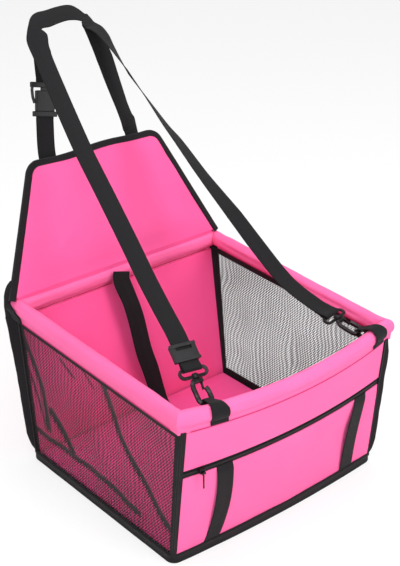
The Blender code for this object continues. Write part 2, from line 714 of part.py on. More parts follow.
def make_flap():
    """Padded front, stiff board and back cover in a folded binding, all on the hinge bead."""
    frame = flap_frame()
    start = FLAP_BEAD + GAP
    margin = FLAP_TAPE + MM
    board = FLAP_BOARD / 2

    def sheet(name, face, thickness, foot, crown, finish, shrink=0.0):
        top = FLAP_LENGTH - shrink
        field = [margin + (top - 2 * margin) * i / 5 for i in range(6)]
        heights = [foot] + field + [top - margin * 0.45, top - FLAP_CORNER * 0.1, top]
        shares = [-1, -0.6, -0.2, 0.2, 0.6, 1]

        def place(u, v):
            y = heights[round(v * (len(heights) - 1))]
            half = flap_half(y) - shrink
            column = round(u * 7)
            if column in (0, 7):
                return Vector((half if column else -half, y, face))
            share = shares[column - 1]
            inside = abs(share) < 1 and field[0] < y < field[-1]
            return Vector(((half - margin) * share, y, face + (crown if inside else 0.0)))

        made = surface(name, 7, len(heights) - 1, place, thickness, finish)
        made.matrix_world = frame
        return made

    front_face = board + GAP + FLAP_FRONT
    front = sheet("flap_front", front_face, FLAP_FRONT, 0.0, FLAP_PUFF, (PINK, 0.85))
    bead_at = frame @ Matrix.Rotation(pi / 2, 4, "Y")
    bead = cylinder("flap_bead", FLAP_BEAD, 2 * FLAP_HALF_FOOT - 2 * MM, bead_at, None, 16)
    combine(front, bead, "UNION")
    stiff = sheet("flap_board", board, FLAP_BOARD, start, 0.0, (BOARD_GREY, 0.6), shrink=2 * MM)
    back = sheet("flap_back", -board - GAP, FLAP_BACK, start, 0.0, (PINK, 0.85))
    low = -board - GAP - FLAP_BACK - GAP
    high = front_face + GAP
    tape = FLAP_TAPE_T
    section = [(-FLAP_TAPE, high), (0, high), (0, low), (-FLAP_TAPE, low), (-FLAP_TAPE, low - tape),
               (0.4 * tape, low - tape), (tape, low), (tape, high), (0.4 * tape, high + tape),
               (-FLAP_TAPE, high + tape)]
    foot = start + FLAP_TAPE * 0.4
    rise = [foot + (FLAP_LENGTH - FLAP_CORNER - foot) * i / 3 for i in range(4)]
    rise += [FLAP_LENGTH - FLAP_CORNER + FLAP_CORNER * sin(pi / 2 * i / 5) for i in range(1, 6)]
    right = [Vector((flap_half(y), y, 0)) for y in rise]
    route = [point + outward * GAP for point, outward in zip(right, flap_outwards(right))]
    route += [Vector((-point.x, point.y, 0)) for point in reversed(route)]
    binding = sweep("flap_binding", route, section, TAPE)
    binding.matrix_world = frame
    return front, stiff, back, binding


def flap_outwards(points):
    """Outward directions along one edge of the flap, from foot to top."""
    made = []
    for i, point in enumerate(points):
        along = points[min(i + 1, len(points) - 1)] - points[max(i - 1, 0)]
        made.append(Vector((along.y, -along.x, 0)).normalized())
    return made


def hook_route(scale):
    """The hook's wire from the block down the spine, round the bottom and up to the nose."""
    half, bend = HOOK_HALF, HOOK_BEND
    line = [(-6.0 * MM, 31.5 * MM), (-8.8 * MM, 28.2 * MM), (-half, 23 * MM), (-half, 14 * MM)]
    turn = [pi / 2 * i / 4 for i in range(5)]
    line += [(-half + bend - bend * cos(a), bend - bend * sin(a)) for a in turn]
    line += [(half - bend + bend * sin(a), bend - bend * cos(a)) for a in turn]
    line += [(half, 13 * MM), (half - 0.5 * MM, 17 * MM), (half - 1.7 * MM, NOSE_K)]
    return [Vector((x * scale, 0, z * scale)) for x, z in line]


def make_hook(name, place, scale=1.0):
    """Snap hook body: bent wire, block, stem and rivet head in one casting, and its sprung gate."""
    body = tube(name + "_hook", hook_route(scale), HOOK_WIRE * scale, METAL, resolution=1)
    low, high = HOOK_BLOCK[0] * scale, HOOK_BLOCK[1] * scale
    size = Vector((2 * HOOK_BLOCK_HALF, HOOK_BLOCK_T, HOOK_BLOCK[1] - HOOK_BLOCK[0])) * scale
    pin = Vector((GATE_PIN[0], 0, GATE_PIN[1])) * scale
    across = Matrix.Translation(pin) @ Matrix.Rotation(pi / 2, 4, "X")
    lump = block(name + "_block", size, Matrix.Translation((0, 0, (low + high) / 2)), None, 1.1 * MM * scale)
    stem_low = high - 0.6 * MM
    stem_high = (STEM_TOP + HEAD / 2) * scale
    stem = cylinder(name + "_stem", STEM_R * scale, stem_high - stem_low,
                    Matrix.Translation((0, 0, (stem_low + stem_high) / 2)), None, 12)
    head_at = Matrix.Translation((0, 0, STEM_TOP * scale))
    head = cylinder(name + "_head", HEAD_R * scale, HEAD * scale, head_at, None, 14)
    notch = cylinder(name + "_notch", GATE_KNUCKLE * scale + GAP, 4 * HOOK_BLOCK_T, across, None, 14)
    for tool in (lump, stem, head):
        combine(body, tool, "UNION")
    combine(body, notch, "DIFFERENCE")
    tip = Vector((3.5 * MM, 0, 18.2 * MM)) * scale
    lean = frame_at((pin + tip) / 2, (1, 0, 0), pin - tip)
    leaf = Vector((GATE_LEAF * scale, GATE_WIDTH * scale, (pin - tip).length))
    gate = block(name + "_gate", leaf, lean, METAL)
    knuckle = cylinder(name + "_knuckle", GATE_KNUCKLE * scale, GATE_WIDTH * scale, across, None, 12)
    combine(gate, knuckle, "UNION")
    for piece in (body, gate, lump, stem, head, notch, knuckle):
        piece.matrix_world = place @ piece.matrix_world
    hang(name + "_gate_axis", place @ Matrix.Translation(pin), gate, knuckle)
    return body, gate


def make_eye(name, place, scale, loop_end):
    """Swivel eye on the hook's stem, and the webbing sewn round its bar."""
    wire = EYE_WIRE * scale
    low = EYE_LOW * scale
    half = WEB / 2
    round_r = EYE_RISE / 2
    line = []
    for side in (1, -1):
        for i in range(6):
            angle = -pi / 2 + pi * i / 5
            across = side * (half + round_r * cos(angle))
            line.append(Vector((across, 0, low + round_r * (1 + side * sin(angle)))))
    eye = tube(name + "_eye", line, wire, METAL, cyclic=True, resolution=1)
    height = 5.8 * MM * scale
    centre = Matrix.Translation((0, 0, low - 0.3 * MM * scale))
    collar = cylinder(name + "_collar", COLLAR_R * scale, height, centre, None, 14)
    hole = cylinder(name + "_hole", STEM_R * scale + GAP, 4 * height, centre, None, 12)
    combine(eye, collar, "UNION")
    combine(eye, hole, "DIFFERENCE")
    bar = low + EYE_RISE
    turn = wire + GAP + WEB_T / 2
    ply = WEB_T / 2 + GAP
    path = [(-ply, loop_end), (-ply, (loop_end + bar) / 2 + 4 * MM)]
    path += [(-ply, bar + 12 * MM), (-1.6 * MM, bar + 8 * MM)]
    path += [(-turn * cos(a), bar - turn * sin(a)) for a in (-pi / 5, 0, pi / 6, pi / 3, pi / 2)]
    path += [(-y, z) for y, z in reversed(path[:-1])]
    points = [Vector((0, y, z)) for y, z in path]
    across = [Vector((1, 0, 0))] * len(points)
    loop = ribbon(name + "_strap_end", edge_rows(points, across, [WEB - 0.4 * MM] * len(points)), WEBBING)
    for piece in (eye, collar, hole, loop):
        piece.matrix_world = place @ piece.matrix_world
    hang(name + "_swivel_axis", place @ Matrix.Translation((0, 0, low)), eye, collar, hole, loop)
    return eye, loop


def make_adjuster(place):
    """Frame that slides on the strap: closed behind it, with lips over its edges in front."""
    at = place @ Matrix.Translation((0, 0, ADJUSTER_K))
    size = Vector((ADJUSTER.x, ADJUSTER.z, ADJUSTER.y))
    frame = block("strap_adjuster", size, at, PLASTIC, 1.0 * MM)
    room = WEB_T * 2 + 2 * GAP + 2 * GAP
    tunnel = block("adjuster_tunnel", Vector((WEB + 1.0 * MM, room, 2 * ADJUSTER.y)), at, None)
    front = at @ Matrix.Translation((0, -ADJUSTER.z / 2, 0))
    window = block("adjuster_window", Vector((WEB - 5 * MM, ADJUSTER.z, 2 * ADJUSTER.y)), front, None)
    combine(frame, tunnel, "DIFFERENCE")
    combine(frame, window, "DIFFERENCE")
    return frame


def fold_rows(middle, along, across, front):
    """Rows of a strap folded on the diagonal: it comes up along and goes on across, on the front side."""
    half = WEB / 2
    near = middle - across * half - along * half
    far = middle + across * half + along * half
    turn = FOLD_R
    inward = (across - along).normalized()
    rows = []
    for i in range(7):
        angle = pi * i / 6
        shift = front * turn * (1 - cos(angle)) - inward * turn * sin(angle)
        rows.append((near + shift, far + shift))
    return rows


def over_rows(corner, width, along, front, drop):
    """A strap that comes up along, folds to the right at the corner and turns down again at the far end."""
    across = Vector((1, 0, 0))
    across = (across - along * across.dot(along)).normalized()
    middle = corner - along * drop
    rows = fold_rows(middle, along, across, front)
    lift = front * 2 * FOLD_R
    half = WEB / 2
    for share in (0.3, 0.55, 0.8, 1.0):
        point = middle + across * width * share + lift
        rows.append((point - along * half, point + along * half))
    pivot = middle + across * width + lift - along * (half + TURN_EASE)
    for i in range(1, 7):
        angle = pi / 2 * i / 6
        spoke = across * sin(angle) + along * cos(angle)
        rows.append((pivot + spoke * TURN_EASE, pivot + spoke * (TURN_EASE + WEB)))
    return rows


def make_long_strap(left, right):
    """Shoulder strap: straight up from the left hook, across the top, and slack down to the right hook."""
    along = (left.to_3x3() @ Vector((0, 0, 1))).normalized()
    front = (left.to_3x3() @ Vector((0, -1, 0))).normalized()
    side = (left.to_3x3() @ Vector((1, 0, 0))).normalized()
    start = left @ Vector((0, 0, LEFT_END + GAP))
    top = left @ Vector((0, 0, STRAP_RUN))
    rise = [start.lerp(top - along * WEB, i / 6) for i in range(7)]
    rows = edge_rows(rise, [side] * 7, [WEB] * 7)
    rows += over_rows(top, BAND_RUN, along, front, 0.0)
    end = right @ Vector((0, 0, RIGHT_END + GAP))
    near, far = rows[-1]
    lead = right @ Vector((0, 0, RIGHT_END + STRAP_LEAD))
    end_side = right.to_3x3() @ Vector((1, 0, 0))
    path = [(near + far) / 2] + [Vector(point) * MM for point in RIGHT_RUN] + [lead]
    sides = [far - near] + [Vector(side) for side in RIGHT_SIDES] + [end_side]
    rows += ribbon_path(path, sides)[1:] + edge_rows([end], [end_side], [WEB])
    return ribbon("long_strap", rows, WEBBING)


def ribbon_path(path, sides, steps=4):
    """Rows along a smooth curve, the width directions eased between the given ones and kept square."""
    middle = smooth_path(path, steps)
    rows = []
    for i, point in enumerate(middle):
        before, after = middle[max(i - 1, 0)], middle[min(i + 1, len(middle) - 1)]
        tangent = (after - before).normalized()
        share = i / steps
        index = min(int(share), len(sides) - 2)
        side = sides[index].normalized().lerp(sides[index + 1].normalized(), share - index)
        side = (side - tangent * side.dot(tangent)).normalized()
        rows.append((point - side * WEB / 2, point + side * WEB / 2))
    return rows


def make_headrest():
    """Headrest loop: lower strap, buckle, and the strap over the top and down to the flap's back."""
    across = Vector((1, 0, 0))
    seat = -(FLAP_BOARD / 2 + GAP + FLAP_BACK + GAP + FLAP_TAPE_T + HEADREST_GAP + WEB_T / 2)
    flap = flap_frame()
    feet = {side: [flap @ Vector((side * HEADREST_X, y, seat)) for y in HEADREST_FOOT] for side in (-1, 1)}
    low, high = Vector(BUCKLE_ENDS[0]) * MM, Vector(BUCKLE_ENDS[1]) * MM
    at = frame_at((low + high) / 2, across, high - low)
    half = (high - low).length / 2
    left = frame_at(LEFT_HOOK, across, LEFT_PULL)
    along = (left.to_3x3() @ Vector((0, 0, 1))).normalized()
    front = (left.to_3x3() @ Vector((0, -1, 0))).normalized()
    buckle_side = at.to_3x3() @ Vector((1, 0, 0))
    up = (high - low).normalized()
    lower = feet[-1] + [low - up * 9 * MM, low - up * MM, low + up * (LADDER - GAP)]
    rows = ribbon_path(lower, [across, across, buckle_side, buckle_side, buckle_side], 3)
    lower_strap = ribbon("headrest_strap_lower", rows, WEBBING)
    corner = left @ Vector((0, 0, STRAP_RUN)) - front * (2 * FOLD_R + WEB_T + GAP)
    rise = [high - up * (STRAP_SEAT - GAP), high + up * MM, high + up * 12 * MM]
    rise.append(corner - along * (WEB + HEADREST_DROP))
    rows = ribbon_path(rise, [buckle_side, buckle_side, buckle_side, across], 3)
    rows += over_rows(corner, BAND_RUN - 4 * MM, along, front, HEADREST_DROP)
    near, far = rows[-1]
    path = [(near + far) / 2] + [Vector(point) * MM for point in HEADREST_RUN] + feet[1][::-1]
    rows += ribbon_path(path, [far - near] + [across] * (len(path) - 1), 4)[1:]
    upper = ribbon("headrest_strap", rows, WEBBING)
    return lower_strap, upper, make_buckle(at, half)


def make_buckle(at, half):
    """Side release buckle: socket below with its ladder bar, plug above with its side arms."""
    wide = SOCKET.x
    socket_mid = -half + LADDER + SOCKET.z / 2
    socket_at = Matrix.Translation((0, 0, socket_mid))
    socket = block("buckle_socket", Vector((wide, SOCKET.y, SOCKET.z)), socket_at, PLASTIC, 1.5 * MM)
    bar_size = Vector((LADDER_WIDE, LADDER_T, LADDER))
    ladder = block("buckle_ladder", bar_size, Matrix.Translation((0, 0, -half + LADDER / 2 + 0.5 * MM)), None,
                   1.2 * MM)
    mouth = block("buckle_mouth", Vector((PRONG.x + 2 * GAP, PRONG.y + 2 * GAP, SOCKET.z)),
                  Matrix.Translation((0, 0, socket_mid + 4 * MM)), None)
    slot = block("ladder_slot", Vector((WEB + 1.0 * MM, WEB_T + 2 * GAP, 2 * LADDER)),
                 Matrix.Translation((0, 0, -half)), None)
    combine(socket, ladder, "UNION")
    combine(socket, mouth, "DIFFERENCE")
    combine(socket, slot, "DIFFERENCE")
    bar = block("buckle_plug", Vector((CROSSBAR.x, CROSSBAR.y, CROSSBAR.z)),
                Matrix.Translation((0, 0, half - CROSSBAR.z / 2)), PLASTIC, 1.2 * MM)
    prong_length = half - CROSSBAR.z / 2 - (socket_mid - SOCKET.z / 2 + 6 * MM)
    prong_mid = half - CROSSBAR.z / 2 - prong_length / 2
    prong_at = Matrix.Translation((0, 0, prong_mid))
    prong = block("buckle_prong", Vector((PRONG.x, PRONG.y, prong_length)), prong_at, None)
    combine(bar, prong, "UNION")
    arms = []
    for side in (1, -1):
        line = [Vector((side * x, 0, half - z)) for x, z in
                ((CROSSBAR.x / 2 - 3 * MM, 4 * MM), (CROSSBAR.x / 2 - 2.2 * MM, 12 * MM),
                 (CROSSBAR.x / 2 - 3.4 * MM, 22 * MM), (wide / 2 + ARM_R + GAP, 31 * MM))]
        arm = tube("buckle_arm_%d" % (side > 0), line, ARM_R, PLASTIC, resolution=1)
        combine(bar, arm, "UNION")
        arms.append(arm)
    strap_slot = block("plug_slot", Vector((WEB + 1.0 * MM, WEB_T + 2 * GAP, 2 * STRAP_SEAT)),
                       Matrix.Translation((0, 0, half)), None)
    combine(bar, strap_slot, "DIFFERENCE")
    for piece in (socket, ladder, mouth, slot, bar, prong, strap_slot, *arms):
        piece.matrix_world = at @ piece.matrix_world
    return socket, bar


def make_tab(name, x, hook):
    """Webbing round the front sleeve, drawn in to a loop round the hook's bottom wire."""
    run_end, _ = side_point(RIM, "front", RUN_SHARE, -TAIL_SET)

    def station(place):
        over_end = max(0.0, place - run_end.x)
        centre, outward = side_point(RIM, "front", RUN_SHARE * min(place, run_end.x) / run_end.x, -TAIL_SET)
        tangent = Vector((-outward.y, outward.x, 0))
        return rim_height(centre + tangent * over_end / tangent.x), outward, tangent

    centre, outward, tangent = station(x)
    wire = hook.translation
    e_axis = hook.to_3x3() @ Vector((1, 0, 0))
    over = SLEEVE_R + TAB_GAP + WEB_T / 2
    grip = HOOK_WIRE + GAP + WEB_T / 2 + TAB_EASE
    inward, rise = (centre - wire).dot(outward), wire.z - centre.z
    aside = (wire - centre).dot(tangent)
    far = sqrt(inward ** 2 + rise ** 2)
    toward = acos(inward / far) * (1 if rise > 0 else -1)
    spread = acos((over - grip) / far)
    outer_tail = TAIL_SET + TAIL_HALF + TAB_GAP + WEB_T / 2
    inner_tail = TAIL_SET - TAIL_HALF - TAB_GAP - WEB_T / 2
    hip = acos(outer_tail / over)

    def around(middle, radius, angle):
        return (middle[0] + radius * cos(angle), middle[1] + radius * sin(angle))

    path = [((-outer_tail, -TAIL_DROP + 0.5 * MM), 0.0), ((-outer_tail, -over * sin(hip) - MM), 0.0)]
    arc_start, arc_end = pi + hip, toward + spread
    turns, flat = 12, 6
    for i in range(turns + 1):
        angle = arc_start + (arc_end - arc_start) * i / turns
        path.append((around((0, 0), over, angle), 0.5 * max(0.0, i - flat) / (turns - flat)))
    for i in range(7):
        path.append((around((inward, rise), grip, toward + spread - 2 * spread * i / 6), 1.0))
    leave, under, lay = toward - spread, acos(inner_tail / over) - pi, 3
    for i in range(lay + 1):
        path.append((around((0, 0), over + TAB_EASE, leave + (under - leave) * i / lay), 1.0))

    def place(u, v):
        row = round(v * (len(path) - 1))
        (reach, height), share = path[row]
        drawn = centre - outward * reach + tangent * aside + Vector((0, 0, height))
        if row >= len(path) - 1 - lay:
            return drawn + tangent * (u - 0.5) * TAB_FOOT
        own_centre, own_outward, _ = station(x + (u - 0.5) * TAB_WEB)
        laid = own_centre - own_outward * reach + Vector((0, 0, height))
        return laid.lerp(drawn + e_axis * (u - 0.5) * TAB_NECK, share)

    return surface(name, 3, len(path) - 1, place, WEB_T, WEBBING, offset=0.0)


def make_cap():
    """Black tape over the sleeves' tails at the back left corner of the rim."""
    low, high = 0.2 * MM - TAIL_DROP, -sqrt(SLEEVE_R ** 2 - (TAIL_SET + TAIL_HALF + GAP) ** 2) - GAP
    centre, first, last, halfway = corner_mitre("back", "left")
    reach = RIM.corner + TAIL_HALF + GAP
    corner = centre + halfway * reach / first.dot(halfway)
    ends = [corner - Vector((-first.y, first.x, 0)) * CAP_REACH, corner,
            corner + Vector((-last.y, last.x, 0)) * CAP_REACH]

    def place(u, v):
        return ends[round(2 * u)] + Vector((0, 0, low + (high - low) * v))

    surface("corner_cap", 2, 1, place, CORNER_TAPE, TAPE, offset=1.0)


def make_tether():
    """Webbing sewn under the back rim, down the back wall and over the mat to its own hook."""
    eye_place = frame_at(TETHER_HOOK, (1, 0, 0), TETHER_PULL)
    hook_place = frame_at(TETHER_HOOK, (0, 0, 1), TETHER_PULL)
    hook = make_hook("tether", hook_place, TETHER_SCALE)
    eye = make_eye("tether", eye_place, TETHER_SCALE, TETHER_END)
    end = eye_place @ Vector((0, 0, TETHER_END + GAP))
    lead = eye_place @ Vector((0, 0, TETHER_END + STRAP_LEAD))
    across = Vector((1, 0, 0))
    path = [Vector(point) * MM for point in TETHER_RUN] + [lead]
    sides = [Vector(side) for side in TETHER_SIDES] + [across]
    rows = ribbon_path(path, sides) + edge_rows([end], [across], [WEB])
    strap = ribbon("tether_strap", rows, WEBBING)
    return hook, eye, strap


def make_straps():
    left = frame_at(LEFT_HOOK, (1, 0, 0), LEFT_PULL)
    right = frame_at(RIGHT_HOOK, (1, 0, 0), RIGHT_PULL)
    make_hook("left", left)
    make_hook("right", right)
    make_eye("left", left, 1.0, LEFT_END)
    make_eye("right", right, 1.0, RIGHT_END)
    make_adjuster(left)
    make_long_strap(left, right)
    make_tab("hook_tab_left", TAB_X[0], left)
    make_tab("hook_tab_right", TAB_X[1], right)


def make_backrest():
    pieces = make_flap()
    lower_strap, upper_strap, (socket, plug) = make_headrest()
    hang("flap_hinge", flap_frame(), *pieces, lower_strap, upper_strap, socket, plug)


make_base()
make_walls()
make_zip()
make_rim()
make_cap()
make_straps()
make_backrest()
make_tether()
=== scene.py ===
from math import acos, cos, pi, radians, sin, sqrt

import bmesh
import bpy
from mathutils import Matrix, Vector, noise


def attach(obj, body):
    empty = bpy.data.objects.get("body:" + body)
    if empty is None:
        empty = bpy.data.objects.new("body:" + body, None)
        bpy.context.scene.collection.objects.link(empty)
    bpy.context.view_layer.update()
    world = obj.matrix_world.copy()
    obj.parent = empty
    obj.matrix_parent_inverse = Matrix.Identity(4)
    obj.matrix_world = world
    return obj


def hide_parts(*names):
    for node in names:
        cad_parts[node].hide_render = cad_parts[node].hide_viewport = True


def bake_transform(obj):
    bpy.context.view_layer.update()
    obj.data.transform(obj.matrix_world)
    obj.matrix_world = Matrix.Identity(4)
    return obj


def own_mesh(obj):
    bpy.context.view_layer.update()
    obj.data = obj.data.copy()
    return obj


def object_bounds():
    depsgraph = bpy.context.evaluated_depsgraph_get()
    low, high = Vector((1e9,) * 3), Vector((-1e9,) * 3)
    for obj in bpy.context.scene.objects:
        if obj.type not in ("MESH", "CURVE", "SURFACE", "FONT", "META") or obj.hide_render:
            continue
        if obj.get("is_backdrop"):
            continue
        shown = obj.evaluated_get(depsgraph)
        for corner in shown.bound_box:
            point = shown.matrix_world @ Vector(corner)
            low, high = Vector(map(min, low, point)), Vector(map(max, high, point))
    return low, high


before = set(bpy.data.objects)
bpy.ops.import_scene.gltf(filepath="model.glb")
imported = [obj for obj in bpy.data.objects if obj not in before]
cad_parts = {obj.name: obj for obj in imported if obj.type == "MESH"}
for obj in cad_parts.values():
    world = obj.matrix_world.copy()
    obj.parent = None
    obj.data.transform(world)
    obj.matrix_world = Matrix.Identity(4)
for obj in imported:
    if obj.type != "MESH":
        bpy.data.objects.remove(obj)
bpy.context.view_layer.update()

MM = 0.001

# The stand: a pale floor that fades to white, a big soft box in front and two fills, and a camera where
# the photograph was taken from, in front of the carrier's left corner and a little above it.
LENS = 80.777
LAMPS = (("front_soft_box", (0.7, -2.4, 1.7), 1.6, 35.0),
         ("camera_fill", (-1.5, -1.5, 2.1), 1.6, 37.0),
         ("top_fill", (0.1, 0.1, 2.6), 1.8, 27.0))
LAMPS_AIM = Vector((0, 0, 0.2))
SKY_LIGHT = 0.62
FLOOR_GLOW = 0.7
FLOOR_REACH = 6.0


def put(name, data):
    made = bpy.data.objects.new(name, data)
    bpy.context.scene.collection.objects.link(made)
    return made


lens = bpy.data.cameras.new("view")
lens.sensor_width = 36.0
lens.lens = LENS
view = put("view", lens)
view.matrix_world = Matrix(((0.7697217, 0.2928667, -0.5672368, -1.0385383),
                            (-0.6382588, 0.3357735, -0.6927351, -1.2709207),
                            (-0.0124160, 0.8952571, 0.4453769, 1.1193735),
                            (0, 0, 0, 1)))
bpy.context.scene.camera = view
bpy.context.scene.view_settings.view_transform = "Standard"

for name, place, size, power in LAMPS:
    lamp = bpy.data.lights.new(name, "AREA")
    lamp.shape = "DISK"
    lamp.size = size
    lamp.energy = power
    light = put(name, lamp)
    light.location = place
    light.rotation_euler = (LAMPS_AIM - light.location).to_track_quat("-Z", "Y").to_euler()


class Value:
    """A socket in a finish, so that an expression on values adds its Math nodes."""

    def __init__(self, finish, socket):
        self.finish = finish
        self.socket = socket

    def math(self, operation, *others):
        return self.finish.node("ShaderNodeMath", {"operation": operation}, [self, *others])

    def __add__(self, other):
        return self.math("ADD", other)

    def __mul__(self, other):
        return self.math("MULTIPLY", other)

    def __sub__(self, other):
        return self.math("SUBTRACT", other)

    def __rsub__(self, other):
        return self.finish.node("ShaderNodeMath", {"operation": "SUBTRACT"}, [other, self])

    __radd__ = __add__
    __rmul__ = __mul__

    def waves(self, pitch):
        return (self * (2 * pi / pitch)).math("SINE")

    def between(self, low, high):
        return self.math("MAXIMUM", low).math("MINIMUM", high)


class Finish:
    """A material: the shader's own numbers, and nodes for what changes over the surface."""

    def __init__(self, name, **numbers):
        self.material = bpy.data.materials.new(name)
        self.material.use_nodes = True
        self.tree = self.material.node_tree
        self.shader = self.tree.nodes["Principled BSDF"]
        for socket, number in numbers.items():
            self.shader.inputs[socket.replace("_", " ")].default_value = number

    def node(self, kind, settings=None, inputs=None, output=0):
        made = self.tree.nodes.new(kind)
        for name, setting in (settings or {}).items():
            setattr(made, name, setting)
        pairs = inputs.items() if isinstance(inputs, dict) else enumerate(inputs or [])
        for key, value in pairs:
            if isinstance(value, Value):
                self.tree.links.new(value.socket, made.inputs[key])
            else:
                made.inputs[key].default_value = value
        return Value(self, made.outputs[output])

    def drive(self, socket, value):
        self.tree.links.new(value.socket, self.shader.inputs[socket])

    def laid(self):
        """Across and along the cloth in metres."""
        place = self.node("ShaderNodeTexCoord", output="UV")
        self.across = self.node("ShaderNodeSeparateXYZ", inputs=[place], output=0)
        self.along = self.node("ShaderNodeSeparateXYZ", inputs=[place], output=1)
        return place

    def solid(self):
        return self.node("ShaderNodeTexCoord", output="Object")

    def mottle(self, place, scale, detail=3.0, roughness=0.55):
        return self.node("ShaderNodeTexNoise", inputs={"Vector": place, "Scale": scale, "Detail": detail,
                                                       "Roughness": roughness})

    def mix(self, share, one, other):
        one, other = (colour if isinstance(colour, Value) else (*colour, 1) for colour in (one, other))
        return self.node("ShaderNodeMix", {"data_type": "RGBA"}, {0: share, 6: one, 7: other}, output=2)

    def relief(self, height, depth, over=None):
        inputs = {"Height": height, "Distance": depth, "Strength": 1.0}
        if over:
            inputs["Normal"] = over
        return self.node("ShaderNodeBump", inputs=inputs)

    def coat(self, share, dark, light, roughness=None, height=None, depth=None):
        """The colour between a dark and a light colour, which are two dyes in most finishes and a painted shaded and a
        painted lit pink in the pink cloth, and the roughness and relief that go with it.
        """
        self.drive("Base Color", self.mix(share, dark, light))
        if roughness:
            self.drive("Roughness", roughness)
        if height:
            self.drive("Normal", self.relief(height, depth))


floor_mesh = bpy.data.meshes.new("floor")
floor_mesh.from_pydata([(x * FLOOR_REACH, y * FLOOR_REACH, 0) for x, y in ((-1, -1), (1, -1), (1, 1), (-1, 1))], [],
                       [(0, 1, 2, 3)])
floor = put("floor", floor_mesh)
floor.location.z = -0.5 * MM
paper = Finish("floor_paper", Base_Color=(0.9, 0.9, 0.9, 1), Roughness=0.9)
rays = paper.node("ShaderNodeLightPath", output="Is Camera Ray")
glow = paper.node("ShaderNodeEmission", inputs={"Color": (1, 1, 1, 1), "Strength": 1.0})
blend = paper.node("ShaderNodeMixShader", inputs=[rays * FLOOR_GLOW, Value(paper, paper.shader.outputs[0]), glow])
paper.tree.links.new(blend.socket, paper.tree.nodes["Material Output"].inputs["Surface"])
floor_mesh.materials.append(paper.material)
floor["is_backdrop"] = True

world = bpy.data.worlds.new("studio")
world.use_nodes = True
bpy.context.scene.world = world
sky = world.node_tree
air = sky.nodes["Background"]
air.inputs["Color"].default_value = (1, 1, 1, 1)
air.inputs["Strength"].default_value = SKY_LIGHT
seen = sky.nodes.new("ShaderNodeLightPath")
white = sky.nodes.new("ShaderNodeBackground")
white.inputs["Strength"].default_value = 1.0
either = sky.nodes.new("ShaderNodeMixShader")
for i, socket in enumerate((seen.outputs["Is Camera Ray"], air.outputs[0], white.outputs[0])):
    sky.links.new(socket, either.inputs[i])
sky.links.new(either.outputs[0], sky.nodes["World Output"].inputs["Surface"])


# Long shoulder strap: one length of 30 mm ribbed nylon webbing. It is sewn to the left snap hook, goes over the
# headrest loop in two diagonal folds, and hangs slack down to the right snap hook.
WEB = 30.0 * MM
WEB_T = 1.4 * MM
WEB_SECTION = [(-1, 0.3), (-0.97, 0.8), (-0.9, 1), (-0.45, 0.94), (0, 0.9), (0.45, 0.94), (0.9, 1), (0.97, 0.8),
               (1, 0.3)]
WEB_SECTION += [(x, -y) for x, y in reversed(WEB_SECTION)]
LEFT_END = 84.0 * MM
RIGHT_END = 68.0 * MM
STRAP_LEAD = 8.0 * MM
SEWN_GAP = 0.3 * MM
LEAD_LENGTH = 0.2
TURN_AT, TURN_SPAN, TURN_BOW = 625.0, 28.0, 3.0
# The left run's two edges as (across, up) from its hook, and the right run's middle with the way its width lies.
LEFT_EDGE = ((-15, 84.3), (-15.2, 105), (-18, 140), (-21, 190), (-22.5, 250), (-25.5, 330), (-28.6, 400),
             (-28.4, 467), (-27.8, 505), (-26.8, 550), (-26.4, 575), (-26.4, 592), (-25, 604), (-20, 616),
             (-13.8, 627.4), (-3.5, 643), (9, 652), (26, 655.3), (45, 660), (61.5, 662.5), (73, 661), (81.6, 653.3),
             (87.2, 642.9))
RIGHT_EDGE = ((15, 84.3), (14.8, 105), (12, 140), (9, 190), (7.5, 250), (4.5, 330), (1.4, 400), (1.6, 467),
              (2.2, 505), (3.2, 550), (4.4, 575), (7, 592), (10, 603), (11, 610), (8.5, 615), (5, 618.5),
              (9, 621), (20, 622), (36, 627), (52, 631.1), (64.4, 631.4), (73, 629.7), (78, 627.3))
RIGHT_RUN = ((38, 299, 615), (42.3, 286, 611), (45.4, 273, 602), (48.9, 258.6, 586), (55.8, 229.8, 553.5),
             (64.1, 195.3, 518.5), (72.1, 162, 484), (77.7, 138.7, 463), (88.8, 92.9, 417), (101.8, 38.6, 368),
             (110.6, 2.3, 333), (121, -41, 294), (128, -68, 276))
RIGHT_SIDES = ((0.8, 0.5, 0.1), (0.9, 0.3, -0.1), (0.88, 0.27, -0.28), (0.75, 0.42, -0.42), (0.57, 0.59, -0.57),
               (0.65, 0.55, -0.5), (0.77, 0.47, -0.4), (0.85, 0.4, -0.3), (0.93, 0.3, -0.22), (1, 0.08, -0.05),
               (1, 0.05, 0), (1, 0.06, 0), (1, 0.08, 0))


def in_mm(points):
    return [Vector(point) * MM for point in points]


def up_by(height):
    return Vector((0, 0, height))


def frame_at(origin, x_axis, z_axis):
    """A matrix with its Z along z_axis and its X as near x_axis as can be."""
    z = Vector(z_axis).normalized()
    y = z.cross(Vector(x_axis)).normalized()
    made = Matrix((y.cross(z), y, z)).transposed().to_4x4()
    made.translation = origin
    return made


def smooth_path(points, steps):
    """A Catmull-Rom curve through the points."""
    ends = [2 * points[0] - points[1]] + list(points) + [2 * points[-1] - points[-2]]
    made = []
    for a, b, c, d in zip(ends, ends[1:], ends[2:], ends[3:]):
        for j in range(steps):
            t = j / steps
            made.append(0.5 * ((2 * b) + (c - a) * t + (2 * a - 5 * b + 4 * c - d) * t ** 2
                               + (3 * b - a - 3 * c + d) * t ** 3))
    return made + [points[-1].copy()]


def way_at(points, i):
    return (points[min(i + 1, len(points) - 1)] - points[max(i - 1, 0)]).normalized()


def lengths(points):
    """How far along a line each of its points lies."""
    made = [0.0]
    for a, b in zip(points, points[1:]):
        made.append(made[-1] + (b - a).length)
    return made


